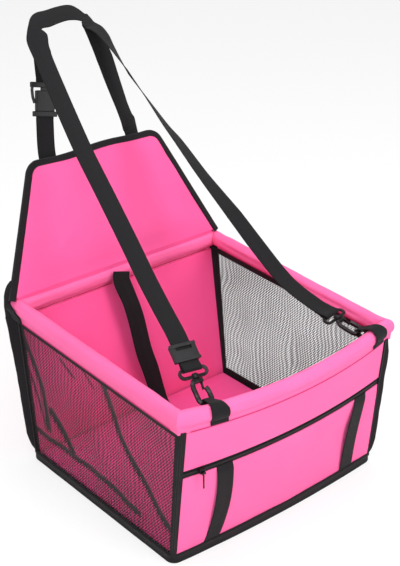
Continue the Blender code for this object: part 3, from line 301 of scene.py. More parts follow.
def strap_rows(path, sides, steps=8):
    """The strap's two edges, row by row along a smooth curve."""
    middle = smooth_path(path, steps)
    sides = [Vector(side).normalized() for side in sides]
    rows = []
    for i, point in enumerate(middle):
        tangent = way_at(middle, i)
        share = i / steps
        index = min(int(share), len(sides) - 2)
        side = sides[index].lerp(sides[index + 1], share - index)
        side = (side - tangent * side.dot(tangent)).normalized() * WEB / 2
        rows.append((point - side, point + side))
    return rows


def rows_between(one_edge, other_edge, back=0.0):
    """Rows between two edges drawn on the long strap's plane, bowed forward a little where it turns over."""
    made = []
    for edge in (one_edge, other_edge):
        points = []
        for x, k in edge:
            bow = TURN_BOW * max(0.0, 1 - abs(k - TURN_AT) / TURN_SPAN)
            points.append(left_hook @ Vector((x * MM, (back - bow) * MM, k * MM)))
        made.append(smooth_path(points, 4))
    return list(zip(*made))


def middle_line(rows):
    return [(near + far) / 2 for near, far in rows]


def finished(work, angle):
    """The mesh of a bmesh, shaded smooth up to an angle."""
    bmesh.ops.recalc_face_normals(work, faces=work.faces)
    mesh = bpy.data.meshes.new("piece")
    work.to_mesh(mesh)
    work.free()
    mesh.shade_smooth()
    mesh.set_sharp_from_angle(angle=radians(angle))
    return mesh


def ring_mesh(rings, across, along=0, closed=False, angle=50):
    """A skin over rings of points, laid out in metres. across is the points' places or their pitch, along is the
    rings' places or the number of the point whose run gives them."""
    count = len(rings[0])
    if isinstance(across, float):
        across = [across * k for k in range(count + 1)]
    if isinstance(along, int):
        run = [ring[along] for ring in rings]
        along = lengths(run + run[:1] if closed else run)
    work = bmesh.new()
    laid = work.loops.layers.uv.new("laid")
    verts = [[work.verts.new(point) for point in ring] for ring in rings]
    for i in range(len(rings) if closed else len(rings) - 1):
        upper = verts[(i + 1) % len(rings)]
        for j in range(count):
            k = (j + 1) % count
            face = work.faces.new((verts[i][j], verts[i][k], upper[k], upper[j]))
            for loop, (m, n) in zip(face.loops, ((j, i), (j + 1, i), (j + 1, i + 1), (j, i + 1))):
                loop[laid].uv = (across[m], along[n])
    if not closed:
        work.faces.new(verts[0])
        work.faces.new(reversed(verts[-1]))
    return finished(work, angle)


def strap_mesh(rows, thickness=WEB_T):
    """Webbing between its two edges, with flat faces and rounded selvedges."""
    middles = middle_line(rows)
    rings = []
    for i, (near, far) in enumerate(rows):
        side = (far - near).normalized()
        normal = side.cross(way_at(middles, i)).normalized()
        half = (far - near).length / 2
        rings.append([middles[i] + side * half * x + normal * (thickness / 2 * y) for x, y in WEB_SECTION])
    width = (rows[0][1] - rows[0][0]).length
    return ring_mesh(rings, [width * (x + 1) / 2 for x, y in WEB_SECTION] + [0.0], lengths(middles))


def add_piece(name, mesh, finish, body=None, node=None):
    """A piece of the carrier with its finish: it rides on a body and stands for a CAD node."""
    mesh.name = name
    mesh.materials.append(finish.material)
    made = put(name, mesh)
    if body:
        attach(made, body)
    if node:
        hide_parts(node)
    return made


def add_webbing(name, rows, body, node):
    return add_piece(name, strap_mesh(rows), webbing, body, node)


def add_cord(name, rows, node):
    """A strap that lies free, on no body."""
    made = add_webbing(name, rows, None, node)
    middles = middle_line(rows)
    lengths(middles)[-1]
    return made


def fold_between(piece):
    """The piece's placement is baked into its mesh."""
    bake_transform(piece)


webbing = Finish("nylon_webbing", Roughness=0.7, Specular_IOR_Level=0.18, Sheen_Weight=0.03, Sheen_Roughness=0.5)
lay = webbing.laid()
chevron = (webbing.across - WEB / 2).math("ABSOLUTE")
selvedge = (chevron - 0.0134).math("GREATER_THAN", 0.0)
thread = (webbing.along + chevron * 0.9).waves(1.9 * MM) * 0.3 + webbing.across.waves(1.25 * MM) * 0.2 + 0.5
wear = webbing.mottle(lay, 45.0, 5.0, 0.65)
dye = webbing.mix(thread * 0.55 + wear * 0.35, (0.0032, 0.0029, 0.0035), (0.0115, 0.0102, 0.0122))
webbing.coat(selvedge * 0.5, dye, (0.004, 0.0036, 0.0043), 0.62 + wear * 0.25, thread + wear * 0.4, 0.35 * MM)

left_hook = frame_at(Vector((-135, -178, 240)) * MM, (1, 0, 0), (85, 493, 392))
right_hook = frame_at(Vector((153, -174, 240)) * MM, (1, 0, 0), (-18, 95, 25))
long_rows = rows_between(LEFT_EDGE, RIGHT_EDGE)
near, far = long_rows[-1]
right_side = right_hook.to_3x3() @ Vector((1, 0, 0))
path = [(near + far) / 2] + in_mm(RIGHT_RUN) + [right_hook @ up_by(RIGHT_END + STRAP_LEAD)]
long_rows += strap_rows(path, [far - near, *(-Vector(side) for side in RIGHT_SIDES), -right_side])[1:]
end = right_hook @ up_by(RIGHT_END + SEWN_GAP)
long_rows.append((end + right_side * WEB / 2, end - right_side * WEB / 2))

run = lengths(middle_line(long_rows))
low_left = next(i for i in range(2, len(run)) if run[i] > LEAD_LENGTH)
low_right = next(i for i in range(len(run) - 3, 0, -1) if run[-1] - run[i] > LEAD_LENGTH)
left_lead = add_cord("strap_left_lead", long_rows[:low_left + 1], "long_strap")
over_loop = add_cord("strap_over_loop", long_rows[low_left:low_right + 1], "long_strap")
right_lead = add_cord("strap_right_lead", long_rows[low_right:], "long_strap")
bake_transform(left_lead)
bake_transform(right_lead)
fold_between(over_loop)


# Headrest loop: a short lower strap with the buckle's socket, and a longer strap with its plug that goes over
# the top and down to the backrest's other side. Both are the same webbing, sewn behind the backrest's binding.
FLAP_LEAN = radians(16.8)
HINGE = Vector((0, 191.0, 271.3)) * MM
HEADREST_X = (-84.0 * MM, 72.0 * MM)
HEADREST_FOOT = (153.0 * MM, 191.0 * MM)
HEADREST_SEAT = -4.9 * MM
HEADREST_RUN = ((40.5, 303, 611), (47.4, 294.5, 590), (52.8, 285, 564), (55.9, 273, 534), (61, 258, 495),
                (65, 250, 472))
HEADREST_SIDES = ((0.8, 0.4, 0.2), (0.97, 0.15, 0.1), (1, 0, 0), (0.98, 0.1, -0.05), (0.95, 0.25, -0.1),
                  (0.96, 0.24, -0.09), (0.96, 0.23, -0.08), (0.97, 0.2, -0.07))
# The loop runs under the long strap: from which point of its edges on, how far behind it and how much wider.
LOOP_FROM = 14
LOOP_BACK = 1.9
LOOP_WIDER = 1.5
flap_frame = Matrix.Translation(HINGE) @ Matrix.Rotation(pi / 2 - FLAP_LEAN, 4, "X")
across = Vector((1, 0, 0))
left_foot, right_foot = ([flap_frame @ Vector((x, y, HEADREST_SEAT)) for y in HEADREST_FOOT] for x in HEADREST_X)
buckle_low, buckle_high = in_mm(((-74, 265, 503), (-62, 278, 551)))
buckle_up = (buckle_high - buckle_low).normalized()
buckle_side = frame_at(buckle_low, across, buckle_up).to_3x3() @ across
rows = strap_rows(left_foot + [buckle_low + buckle_up * k * MM for k in (-9, -1, 7.7)],
                  [across, across, buckle_side, buckle_side, buckle_side], 6)
add_webbing("headrest_lower_strap", rows, "back_flap", "headrest_strap_lower")
rise = [buckle_high + buckle_up * k * MM for k in (-4.7, 1, 12)] + [left_hook @ Vector((-8 * MM, 4 * MM, 578 * MM))]
rows = strap_rows(rise, [buckle_side, buckle_side, buckle_side, across], 5)
rows += rows_between([(x, k - LOOP_WIDER) for x, k in LEFT_EDGE[LOOP_FROM:]],
                     [(x, k + LOOP_WIDER) for x, k in RIGHT_EDGE[LOOP_FROM:]], LOOP_BACK)
near, far = rows[-1]
path = [(near + far) / 2] + in_mm(HEADREST_RUN) + right_foot[::-1]
rows += [(b, a) for a, b in strap_rows(path, [near - far, *HEADREST_SIDES], 6)[1:]]
headrest = add_cord("headrest_loop_strap", rows, "headrest_strap")
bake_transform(headrest)


# Safety tether: the same webbing, sewn under the back rim. It comes down the back wall with a slight twist and lies
# over the mat to its own small snap hook.
TETHER_RUN = ((-10, 176.8, 260), (-13, 173, 246), (-4, 166, 212), (3.5, 161, 176), (12, 156, 121), (22.6, 153, 81),
              (31, 149, 41), (31, 137, 20), (29, 112, 16.2), (38, 75, 16), (55, 48, 20))
TETHER_SIDES = ((1, 0, 0.05), (1, 0, 0.1), (0.97, 0.1, 0.05), (0.96, 0, 0.3), (0.95, 0, 0.3), (0.95, 0, 0.3),
                (0.97, 0.1, 0.2), (1, 0.15, 0.05), (1, 0.1, 0), (1, 0.05, 0), (1, 0, 0), across, across)
TETHER_END = 58.0 * MM
tether_hook = frame_at(Vector((55, -32, 24.7)) * MM, (1, 0, 0), (0, 1, 0))
path = in_mm(TETHER_RUN) + [tether_hook @ up_by(TETHER_END + past) for past in (STRAP_LEAD, SEWN_GAP)]
tether = add_cord("tether_webbing", strap_rows(path, TETHER_SIDES, 6), "tether_strap")
fold_between(tether)


# Base: a bottom of black cloth with a stiff board on it, and a wide black binding tape folded round the bottom edge
# and sewn through all the layers.
SIDES = {"front": (0, -1), "right": (1, 0), "back": (0, 1), "left": (-1, 0)}
NEXT = {"front": "right", "right": "back", "back": "left", "left": "front"}
BEFORE = {after: side for side, after in NEXT.items()}
CORNERS = {"front": "front_right", "right": "back_right", "back": "back_left", "left": "front_left"}
# A plan is half its width and depth, its corners' radius, and how far each side has turned where its corner starts.
BASE = (0.196, 0.175, 0.014, {"front": 0.085, "right": 0.0, "back": 0.0, "left": 0.0})
RUN_SHARE = 0.9
RING_HEIGHT = 15.0 * MM
BASE_TAPE = ((0.2, -7.3), (1.3, -7.2), (1.8, -6.2), (2.0, -4.6), (1.7, -4.2), (1.9, 0), (1.7, 4.0), (2.0, 4.5),
             (1.8, 6.2), (1.2, 7.1), (0.2, 7.3), (-1.2, 7.2), (-1.8, 6.4), (-1.8, -7.3))
BOTTOM_INSET = 4.2 * MM
BOTTOM_T = 2.0 * MM


def side_point(plan, side, t, grow=0.0):
    """Point and outward direction on one side of a plan, t from -1 to 1 between the corner seams."""
    half_x, half_y, corner, slopes = plan
    out = Vector((*SIDES[side], 0.0))
    along = Vector((-out.y, out.x, 0.0))
    half_run = (half_y if out.x else half_x) - corner
    reach = (half_x if out.x else half_y) - corner
    slope = slopes[side]
    if abs(t) > RUN_SHARE:
        share = (abs(t) - RUN_SHARE) / (1 - RUN_SHARE)
        angle = slope + (pi / 4 - slope) * share
        angle = angle if t > 0 else -angle
        normal = out * cos(angle) + along * sin(angle)
        return along * (half_run if t > 0 else -half_run) + out * reach + normal * (corner + grow), normal
    share = t / RUN_SHARE
    if not slope:
        return along * half_run * share + out * (reach + corner + grow), out
    bow = half_run / sin(slope)
    normal = out * cos(slope * share) + along * sin(slope * share)
    return out * (reach - bow * cos(slope)) + normal * (bow + corner + grow), normal


def around(cells, arc=4):
    """Values of t along one side, closer together in the corners."""
    bend = [RUN_SHARE + (1 - RUN_SHARE) * i / arc for i in range(1, arc + 1)]
    return [-t for t in reversed(bend)] + [RUN_SHARE * (2 * i / cells - 1) for i in range(cells + 1)] + bend


def wobble(point, scale, size, seed=0.0):
    return noise.noise(Vector((point.x * scale + seed, point.y * scale, point.z * scale))) * size


def tape_finish(name, pitch):
    """Woven black binding tape."""
    made = Finish(name, Roughness=0.8, Specular_IOR_Level=0.18, Sheen_Weight=0.05, Sheen_Roughness=0.5)
    place = made.laid()
    rib = made.along.waves(pitch) * 0.5 + 0.5
    weft = made.across.waves(pitch * 0.6) * 0.5 + 0.5
    fray = made.mottle(place, 60.0, 5.0, 0.6)
    made.coat(rib * 0.4 + fray * 0.5, (0.005, 0.004, 0.005), (0.016, 0.0136, 0.016), 0.7 + fray * 0.25,
              rib * 0.6 + weft * 0.3 + fray * 0.8, 0.3 * MM)
    return made


tape = tape_finish("binding_tape", 1.3 * MM)
rings = []
for side in SIDES:
    for t in around(26)[:-1]:
        point, out = side_point(BASE, side, t, -1.8 * MM)
        swell = wobble(point, 28, 0.35 * MM)
        rings.append([point + out * (x * MM + (swell if x > 0 else 0)) + up_by(RING_HEIGHT / 2 + z * MM)
                      for x, z in BASE_TAPE])
add_piece("base_edge_tape", ring_mesh(rings, 2.4 * MM, closed=True), tape, "base", "base_binding")


def plate_rings(inset, shares, height, cells=26):
    """Rings of the base's outline, drawn in by shares towards its middle."""
    edge = [side_point(BASE, side, t, -inset)[0] for side in SIDES for t in around(cells, 3)[:-1]]
    return [[Vector((p.x * s, p.y * s, height(p.x * s, p.y * s, s))) for p in edge] for s in shares]


def plate_mesh(rings):
    """A skin over closed rings, one round the other, with the cloth laid out by x and y."""
    mesh = ring_mesh(rings, 0.0)
    for loop in mesh.loops:
        point = mesh.vertices[loop.vertex_index].co
        mesh.uv_layers["laid"].data[loop.index].uv = (point.x, point.y)
    return mesh


def refinish(finish, *nodes):
    """CAD nodes whose shape is right keep it and get the real finish."""
    for node in nodes:
        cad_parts[node].data.materials.clear()
        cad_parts[node].data.materials.append(finish.material)


rings = plate_rings(BOTTOM_INSET, (0.02, 0.5, 0.9, 0.995), lambda x, y, s: 0.0)
rings += plate_rings(BOTTOM_INSET, (1.0,), lambda x, y, s: BOTTOM_T / 4)
rings += plate_rings(BOTTOM_INSET, (1.0, 0.995, 0.5, 0.02), lambda x, y, s: BOTTOM_T)
bottom_cloth = Finish("bottom_cloth", Roughness=0.85, Specular_IOR_Level=0.2)
lay = bottom_cloth.laid()
dots = bottom_cloth.across.waves(5 * MM) * bottom_cloth.along.waves(5 * MM)
scuff = bottom_cloth.mottle(lay, 30.0, 4.0)
bottom_cloth.coat(dots * 0.3 + scuff * 0.5, (0.012, 0.011, 0.013), (0.05, 0.045, 0.05), 0.75 + scuff * 0.2,
                  dots * 0.5 + scuff, 0.4 * MM)
add_piece("bottom_sheet", plate_mesh(rings), bottom_cloth, "base", "base_fabric")
board_grey = Finish("hidden_board", Roughness=0.6)
grain = board_grey.mottle(board_grey.solid(), 80.0, 4.0)
board_grey.coat(grain, (0.2, 0.2, 0.21), (0.3, 0.3, 0.31), 0.5 + grain * 0.2)
refinish(board_grey, "base_board", "flap_board")


# Floor mat: a thin pad of the pink cloth over foam, lying loose on the board. It is crowned, soft at its edge and a
# little uneven, and its shallow creases are in the finish.
MAT_INSET = 10.4 * MM
MAT_LOW = 5.6 * MM
MAT_EDGE = 3.0 * MM
MAT_CROWN = 6.0 * MM


def pink_finish(name, lit, shaded, crease=22.0):
    """Woven polyester: a fine plain weave, soft creases and slightly uneven dye. Its colour runs between a painted lit
    and a painted shaded pink, in broad soft patches of painted light and shade over its wrinkles, and each copy has its
    own pair of pinks set for how the light falls where it sits.
    """
    made = Finish(name, Roughness=0.75, Specular_IOR_Level=0.22, Sheen_Weight=0.07, Sheen_Roughness=0.4,
                  Sheen_Tint=(1.0, 0.6, 0.9, 1))
    place = made.laid()
    cloth = made.across.waves(0.62 * MM) * made.along.waves(0.62 * MM) * 0.5 + 0.5
    # Broad soft patches between the shaded and the lit pink: painted light and shade over the cloth's wrinkles.
    painted_shade_patches = made.mottle(place, crease * 0.5, 3.0, 0.5)
    slub = made.mottle(place, 420.0, 2.0, 0.5)
    made.coat(painted_shade_patches * 0.7 + slub * 0.25 + cloth * 0.12 - 0.02, shaded, lit, 0.68 + slub * 0.2)
    soft = made.relief(made.mottle(place, crease, 2.0, 0.45), 1.1 * MM)
    made.drive("Normal", made.relief(cloth * 0.6 + slub * 0.4, 0.10 * MM, soft))
    return made


def mat_top(x, y, s):
    rise = (1 - s ** 7) ** 0.6
    return MAT_LOW + MAT_EDGE + rise * (MAT_CROWN + wobble(Vector((x, y, 0)), 14, 0.5 * MM))


# Lit and shaded pinks of the mat: painted light and shade on its cloth.
mat_cloth = pink_finish("mat_cloth", (0.92, 0.100, 0.34), (0.84, 0.075, 0.28))
rings = plate_rings(MAT_INSET, (0.02, 0.6, 0.985), lambda x, y, s: MAT_LOW, 24)
rings += plate_rings(MAT_INSET, (1.0,), lambda x, y, s: MAT_LOW + 2 * MM, 24)
rings += plate_rings(MAT_INSET, (0.995, 0.985, 0.96, 0.92, 0.86, 0.78, 0.68, 0.56, 0.42, 0.26, 0.1, 0.02), mat_top, 24)
mat = add_piece("floor_pad", plate_mesh(rings), mat_cloth, "base", "floor_mat")


# Walls: panels of the pink cloth at the front and the back, sewn into the base binding below and the rim above.
# The front has a flat pocket below its zip.
RIM = (0.193, 0.196, 0.019, {"front": 0.215, "right": -0.07, "back": 0.0, "left": -0.07})
TUBE_Z = 254.0 * MM
RIM_DIP = 14.0 * MM
TAIL_DROP = 19.2 * MM
TAIL_SET = 5.0 * MM
SEAM_Z = TUBE_Z - TAIL_DROP
WALL_TOP = SEAM_Z - 0.5 * MM
FLOOR_Z = 2.3 * MM
ZIP_Z = 161.0 * MM
SAG = {"front": -3.0 * MM, "right": 6.0 * MM, "back": 0.0, "left": -8.5 * MM}
# The walls follow the base and the rim, with tighter corners, a little inside them.
WALL_FOOT = (*BASE[:2], 0.008, BASE[3])
WALL_HEAD = (*RIM[:2], 0.009, RIM[3])
FOOT_IN = 3.9 * MM
HEAD_IN = 0.6 * MM
WALL_REACH = 0.985
CLOTH_T = 1.5 * MM
BACK_T = 3.0 * MM


def dip(y):
    """How far the rim hangs lower there than over the back wall."""
    return RIM_DIP * (RIM[1] - y) / (2 * RIM[1])


def wall_point(side, t, z, offset):
    """A point off the wall's outer face and its outward direction, with the rim's slack between its corners."""
    rise = max(0.0, (z - RING_HEIGHT) / (SEAM_Z - RING_HEIGHT))
    low, low_out = side_point(WALL_FOOT, side, t, -FOOT_IN)
    high, high_out = side_point(WALL_HEAD, side, t, -HEAD_IN)
    out = low_out.lerp(high_out, rise).normalized()
    point = low.lerp(high, rise) + out * offset
    slack = SAG[side] * max(0.0, 1 - t * t)
    return point + up_by(z + (slack - dip(point.y)) * rise), out


def cloth_mesh(grid, thickness):
    """A closed sheet of cloth: its front face is a grid of (point, outward), laid out in metres."""
    rows, columns = len(grid), len(grid[0])
    across = [lengths([point for point, _ in row]) for row in grid]
    up = [lengths([row[j][0] for row in grid]) for j in range(columns)]
    work = bmesh.new()
    laid = work.loops.layers.uv.new("laid")
    front = [[work.verts.new(point) for point, _ in row] for row in grid]
    back = [[work.verts.new(point - out * thickness) for point, out in row] for row in grid]

    def face(*spots):
        made = work.faces.new([skin[i][j] for skin, (i, j) in spots])
        for loop, (_, (i, j)) in zip(made.loops, spots):
            loop[laid].uv = (across[i][j], up[j][i])

    cells = [((i, j), (i, j + 1), (i + 1, j + 1), (i + 1, j)) for i in range(rows - 1) for j in range(columns - 1)]
    for cell in cells:
        face(*((front, spot) for spot in cell))
    for cell in cells:
        face(*((back, spot) for spot in reversed(cell)))
    edge =[(0, j) for j in range(columns)] + [(i, columns - 1) for i in range(1, rows)]
    edge += [(rows - 1, j) for j in range(columns - 2, -1, -1)] + [(i, 0) for i in range(rows - 2, 0, -1)]
    for one, other in zip(edge, edge[1:] + edge[:1]):
        face((front, other), (front, one), (back, one), (back, other))
    return finished(work, 60)


def wall_grid(side, low, high, offset, columns=40, rows=24, puff=None):
    grid = []
    for i in range(rows + 1):
        row = []
        for t in around(columns, 3):
            point, out = wall_point(side, t * WALL_REACH, low + (high - low) * i / rows, offset)
            row.append((point + out * puff(point, i / rows, t) if puff else point, out))
        grid.append(row)
    return grid


def held(v, t, ends, sides=7):
    """How free the cloth is: 0 on the seams round it, 1 away from them."""
    return min(1.0, ends * v, ends * (1 - v), sides * (1 - abs(t)))


def fold_down(piece):
    """The piece gets its own copy of its mesh."""
    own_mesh(piece)


def pocket_puff(point, v, t):
    ripple = 1.6 * sin(point.x * 34 + 0.8) + sin(point.x * 71 + point.z * 20)
    return ((ripple * 0.55 + 1.4) * MM + wobble(point, 16, 1.2 * MM, 3.0)) * held(v, t, 6)


def upper_puff(point, v, t):
    return ((0.5 + 0.4 * sin(point.x * 27)) * MM + wobble(point, 22, 0.8 * MM, 8.0)) * held(v, t, 5)


def lining_puff(point, v, t):
    return wobble(point, 13, 0.9 * MM, 5.0) * (1 - v ** 6)


def back_puff(point, v, t):
    crease = -1.6 * MM * max(0.0, 1 - abs(point.x - 0.09 + 0.35 * (point.z - 0.12)) / 0.014)
    crease -= 1.2 * MM * max(0.0, 1 - abs(point.x + 0.11 - 0.25 * (point.z - 0.12)) / 0.018)
    return (wobble(point, 12, 1.6 * MM, 11.0) + crease) * held(v, t, 5, 6)


# Lit and shaded pinks for the walls' outside and inside: painted light and shade, set for how the light falls on each.
front_pink = pink_finish("front_cloth", (0.92, 0.152, 0.375), (0.88, 0.108, 0.31))
inner_pink = pink_finish("inner_cloth", (0.98, 0.115, 0.36), (0.95, 0.085, 0.30))
grid = wall_grid("front", FLOOR_Z, ZIP_Z - 7.2 * MM, 0.0, puff=pocket_puff)
pocket = add_piece("pocket_cloth", cloth_mesh(grid, CLOTH_T), front_pink, None, "front_pocket_panel")
grid = wall_grid("front", ZIP_Z + 6.6 * MM, WALL_TOP, 0.0, rows=12, puff=upper_puff)
upper = add_piece("upper_cloth", cloth_mesh(grid, CLOTH_T), front_pink, "base", "front_upper_panel")
grid = wall_grid("front", FLOOR_Z, WALL_TOP, -3.7 * MM, puff=lining_puff)
lining = add_piece("lining_cloth", cloth_mesh(grid, 1.1 * MM), inner_pink, None, "front_lining")
fold_between(pocket)
fold_down(upper)
fold_between(lining)
grid = [[(point - out * BACK_T, -out) for point, out in reversed(row)]
        for row in wall_grid("back", FLOOR_Z, WALL_TOP, 0.0, puff=back_puff)]
back_wall = add_piece("back_cloth", cloth_mesh(grid, BACK_T), inner_pink, "base", "back_panel")
fold_down(back_wall)


# Side nets: black polyester mesh with holes of about 2 mm, sewn under a black tape at the rim. The net is slack, so it
# has upright ripples, and the left one has a few sharp creases that run down from the rim, where it lies double.
# Each crease from its start to its end as (y, z), and its width.
CREASES = (((186, 217), (144, 137), 3.0), ((144, 137), (128, 73), 3.0), ((-13, 215), (-50, 146), 3.2),
           ((-50, 146), (-158, 51), 3.2), ((163, 54), (-7, 53), 2.4), ((-7, 53), (-90, 38), 2.4),
           ((89, 207), (60, 191), 1.6), ((40, 217), (10, 196), 1.4), ((120, 105), (68, 60), 3.4),
           ((199, 205), (134, 68), 1.6))
NET_EDGE = 8.0 * MM


def clamp(number):
    return max(0.0, min(1.0, number))


def crease_share(point):
    """How deep in a crease a point of the net is, 0 to 1, and how far it is pulled in there."""
    share, depth = 0.0, 0.0
    for start, stop, size in CREASES if point.x < 0 else ():
        a, b, p = Vector(start) * MM, Vector(stop) * MM, point.yz
        along = clamp((p - a).dot(b - a) / (b - a).length_squared)
        away = (p - a.lerp(b, along)).length / (size * 2.7 * MM)
        share = max(share, (1 - away ** 2) * min(1.0, size / 2.6))
        depth = max(depth, size * MM * max(0.0, 1 - away / 1.5))
    return share, depth


def net_puff(point, v, t):
    ripple = (1.8 if point.x > 0 else 0.9) * MM * sin(point.y * 95 + 2.5 * sin(point.z * 16))
    return (ripple - crease_share(point)[1] + wobble(point, 9, 2.2 * MM, 2.0)) * held(v, t, 5)


net_cloth = Finish("black_net", Roughness=0.6, Specular_IOR_Level=0.25)
lay = net_cloth.laid()
drift = net_cloth.mottle(lay, 7.0, 2.0, 0.5)
pleat = net_cloth.node("ShaderNodeAttribute", {"attribute_name": "crease"}, output=2)
stripe = (net_cloth.across + drift * 0.060).waves(7.0 * MM)
first = (net_cloth.across + net_cloth.along).waves(9.2 * MM).math("ABSOLUTE")
second = (net_cloth.across - net_cloth.along).waves(9.2 * MM).math("ABSOLUTE")
knots = first.math("MINIMUM", second)
thick = 0.45 + stripe * 0.16 + (drift - 0.5) * 0.40 + pleat * 0.62
net_cloth.drive("Alpha", 1 - ((knots - thick) * 7.0).between(0.0, 1.0))
net_cloth.coat(drift, (0.010, 0.008, 0.010), (0.030, 0.022, 0.027), None, knots * -1, 0.4 * MM)
net_tape = tape_finish("net_tape", 1.1 * MM)
for side in ("left", "right"):
    mesh = cloth_mesh(wall_grid(side, FLOOR_Z, WALL_TOP - 7.8 * MM, -0.4 * MM, 120, 80, net_puff), 0.12 * MM)
    double = mesh.attributes.new("crease", "FLOAT", "POINT")
    for vert, mark in zip(mesh.vertices, double.data):
        mark.value = crease_share(vert.co)[0]
    net = add_piece(side + "_net_cloth", mesh, net_cloth, None, side + "_net")
    fold_between(net)
    mesh = cloth_mesh(wall_grid(side, WALL_TOP - NET_EDGE, WALL_TOP, 0.2 * MM, 40, 3), 1.8 * MM)
    add_piece(side + "_net_edge", mesh, net_tape, "rim", side + "_net_tape")


# Corner bindings: black tape folded round the walls' joined edges and sewn through, so that it stands out from the
# corner as a flat lip, puckered a little by the stitching.
# How far the lip stands out at the corner after each side, at five heights.
LIPS = {"front": (9.0, 8.6, 8.2, 8.0, 8.0), "right": (3.5, 3.5, 3.5, 3.5, 3.5),
        "back": (12.0, 12.0, 13.5, 15.5, 18.8), "left": (4.0, 3.8, 3.5, 3.2, 3.0)}
LIP_FOOT = RING_HEIGHT - 6 * MM
LIP_HEAD = WALL_TOP + 3.0 * MM
LIP_ROOT = 2.6
LIP_STEPS = 40


def lip(seat, tip, halfway, aside, root, neck):
    """The tape's standing lip in section, from one side of its root over its tip to the other."""
    low, high = seat + halfway * 1.8 * MM, tip - halfway * 1.2 * MM
    return [low - aside * root * MM, high - aside * neck * MM, tip - aside * 0.9 * MM, tip + aside * 0.9 * MM,
            high + aside * neck * MM, low + aside * root * MM]


for side, corner in CORNERS.items():
    after = NEXT[side]
    rings = []
    for i in range(LIP_STEPS + 1):
        z = LIP_FOOT + (LIP_HEAD - LIP_FOOT) * i / LIP_STEPS
        seat, _ = wall_point(side, 1.0, z, 0.0)
        one, one_out = wall_point(side, RUN_SHARE, z, 0.0)
        other, other_out = wall_point(after, -RUN_SHARE, z, 0.0)
        halfway = (one_out + other_out).normalized()
        aside = Vector((-halfway.y, halfway.x, 0))
        step = min(3, i // 10)
        reach = LIPS[side][step] + (LIPS[side][step + 1] - LIPS[side][step]) * (i / 10 - step)
        hem = min(1.0, max(0.0, i - 1) / 5) ** 0.6
        if corner != "back_left":
            hem *= min(1.0, 0.35 + (LIP_STEPS - i) / 6)
        reach = (LIP_ROOT + (reach - LIP_ROOT) * hem) * MM + wobble(seat, 50, 0.8 * MM, 4.0)
        tip = seat + halfway * reach + aside * wobble(seat, 18, 2.2 * MM, 9.0) * reach / (8 * MM)
        wings = []
        for at, out, way in ((one, one_out, one - other), (other, other_out, other - one)):
            way.normalize()
            wings.append([at + way * 1.6 * MM + out * 0.3 * MM, at + way * 1.2 * MM + out * 1.5 * MM,
                          at + out * 1.9 * MM])
        rings.append([*wings[0], *lip(seat, tip, halfway, aside, 2.2, 1.7), *reversed(wings[1]),
                      other - other_out * 3.4 * MM, seat - halfway * 5.5 * MM, one - one_out * 3.4 * MM])
    mesh = ring_mesh(rings, 2.4 * MM, 5, angle=40)
    binding = add_piece("corner_tape_" + corner, mesh, tape, "base", "corner_binding_" + corner)
    fold_down(binding)


# Zip: two woven tapes sewn behind the pocket's edges, with a coil of small plastic teeth between them, a metal slider
# parked at the left and a pull that hangs from it.
ZIP_TAPE = 18.0 * MM
ZIP_REACH = 0.9
TEETH = 300
TOOTH = Vector((0.85, 1.6, 2.9)) * MM
TOOTH_SHIFT = 0.45 * MM
grid = []
for i in range(5):
    z = ZIP_Z + ZIP_TAPE * (i / 4 - 0.5)
    grid.append([wall_point("front", t * WALL_REACH, z, -1.8 * MM) for t in around(40, 3)])
add_piece("zip_tapes", cloth_mesh(grid, 0.6 * MM), tape, "zip_line", "zip_tape")
teeth = bmesh.new()
for i in range(TEETH):
    point, out = wall_point("front", ZIP_REACH * (2 * i / (TEETH - 1) - 1), ZIP_Z, -0.6 * MM)
    at = frame_at(point + up_by(TOOTH_SHIFT if i % 2 else -TOOTH_SHIFT), (-out.y, out.x, 0), (0, 0, 1))
    for vert in bmesh.ops.create_cube(teeth, size=1.0)["verts"]:
        taper = 0.7 if (vert.co.z > 0) == bool(i % 2) else 1.0
        vert.co = at @ Vector((vert.co.x * TOOTH.x * taper, vert.co.y * TOOTH.y * taper, vert.co.z * TOOTH.z))
mesh = bpy.data.meshes.new("zip_teeth")
teeth.to_mesh(mesh)
teeth.free()
moulded = Finish("moulded_black", Roughness=0.42, Specular_IOR_Level=0.35)
spot = moulded.solid()
haze = moulded.mottle(spot, 90.0, 4.0)
moulded.coat(haze, (0.006, 0.006, 0.007), (0.015, 0.014, 0.016), 0.34 + haze * 0.22,
             moulded.mottle(spot, 900.0, 3.0), 0.05 * MM)
add_piece("zip_teeth", mesh, moulded, "zip_line", "zip_chain")

black_metal = Finish("black_plated_metal", Metallic=0.85, Roughness=0.34, Specular_IOR_Level=0.5)
spot = black_metal.solid()
rub = black_metal.mottle(spot, 130.0, 5.0, 0.6)
black_metal.coat(((rub - 0.52) * 4.0).between(0.0, 0.5), (0.017, 0.015, 0.017), (0.09, 0.08, 0.085),
                 0.26 + rub * 0.2, black_metal.mottle(spot, 1400.0, 2.0), 0.03 * MM)
refinish(black_metal, "zip_slider", "zip_pull")


# Belt strips: two lengths of webbing over the pocket for the car's belt, sewn in at the zip and at the base, and bowed
# a little away from the cloth.
BELT = 26.5 * MM
BELT_LOW = RING_HEIGHT + 0.3 * MM
BELT_HIGH = ZIP_Z - 6.4 * MM


def front_at(x, z, offset):
    reach = wall_point("front", RUN_SHARE, z, 0)[0].x
    return wall_point("front", RUN_SHARE * x / reach, z, offset)[0]


for side in ("left", "right"):
    rows = []
    for i in range(25):
        v = i / 24
        bend = sin(pi * v)
        x = -119 - 9.5 * (1 - v) ** 2.5 + 2.5 * bend if side == "left" else 135 + 7.7 * v - 8 * bend
        bow = (3.4 * bend ** 0.7 + 1.6 - 2.2 * max(0.0, (v - 0.93) / 0.07)) * MM
        z = BELT_LOW + (BELT_HIGH - BELT_LOW) * v
        rows.append(tuple(front_at(x * MM + k * BELT / 2, z, bow) for k in (-1, 1)))
    strip = add_webbing("belt_" + side, rows, None, "belt_strip_" + side)
    fold_between(strip)


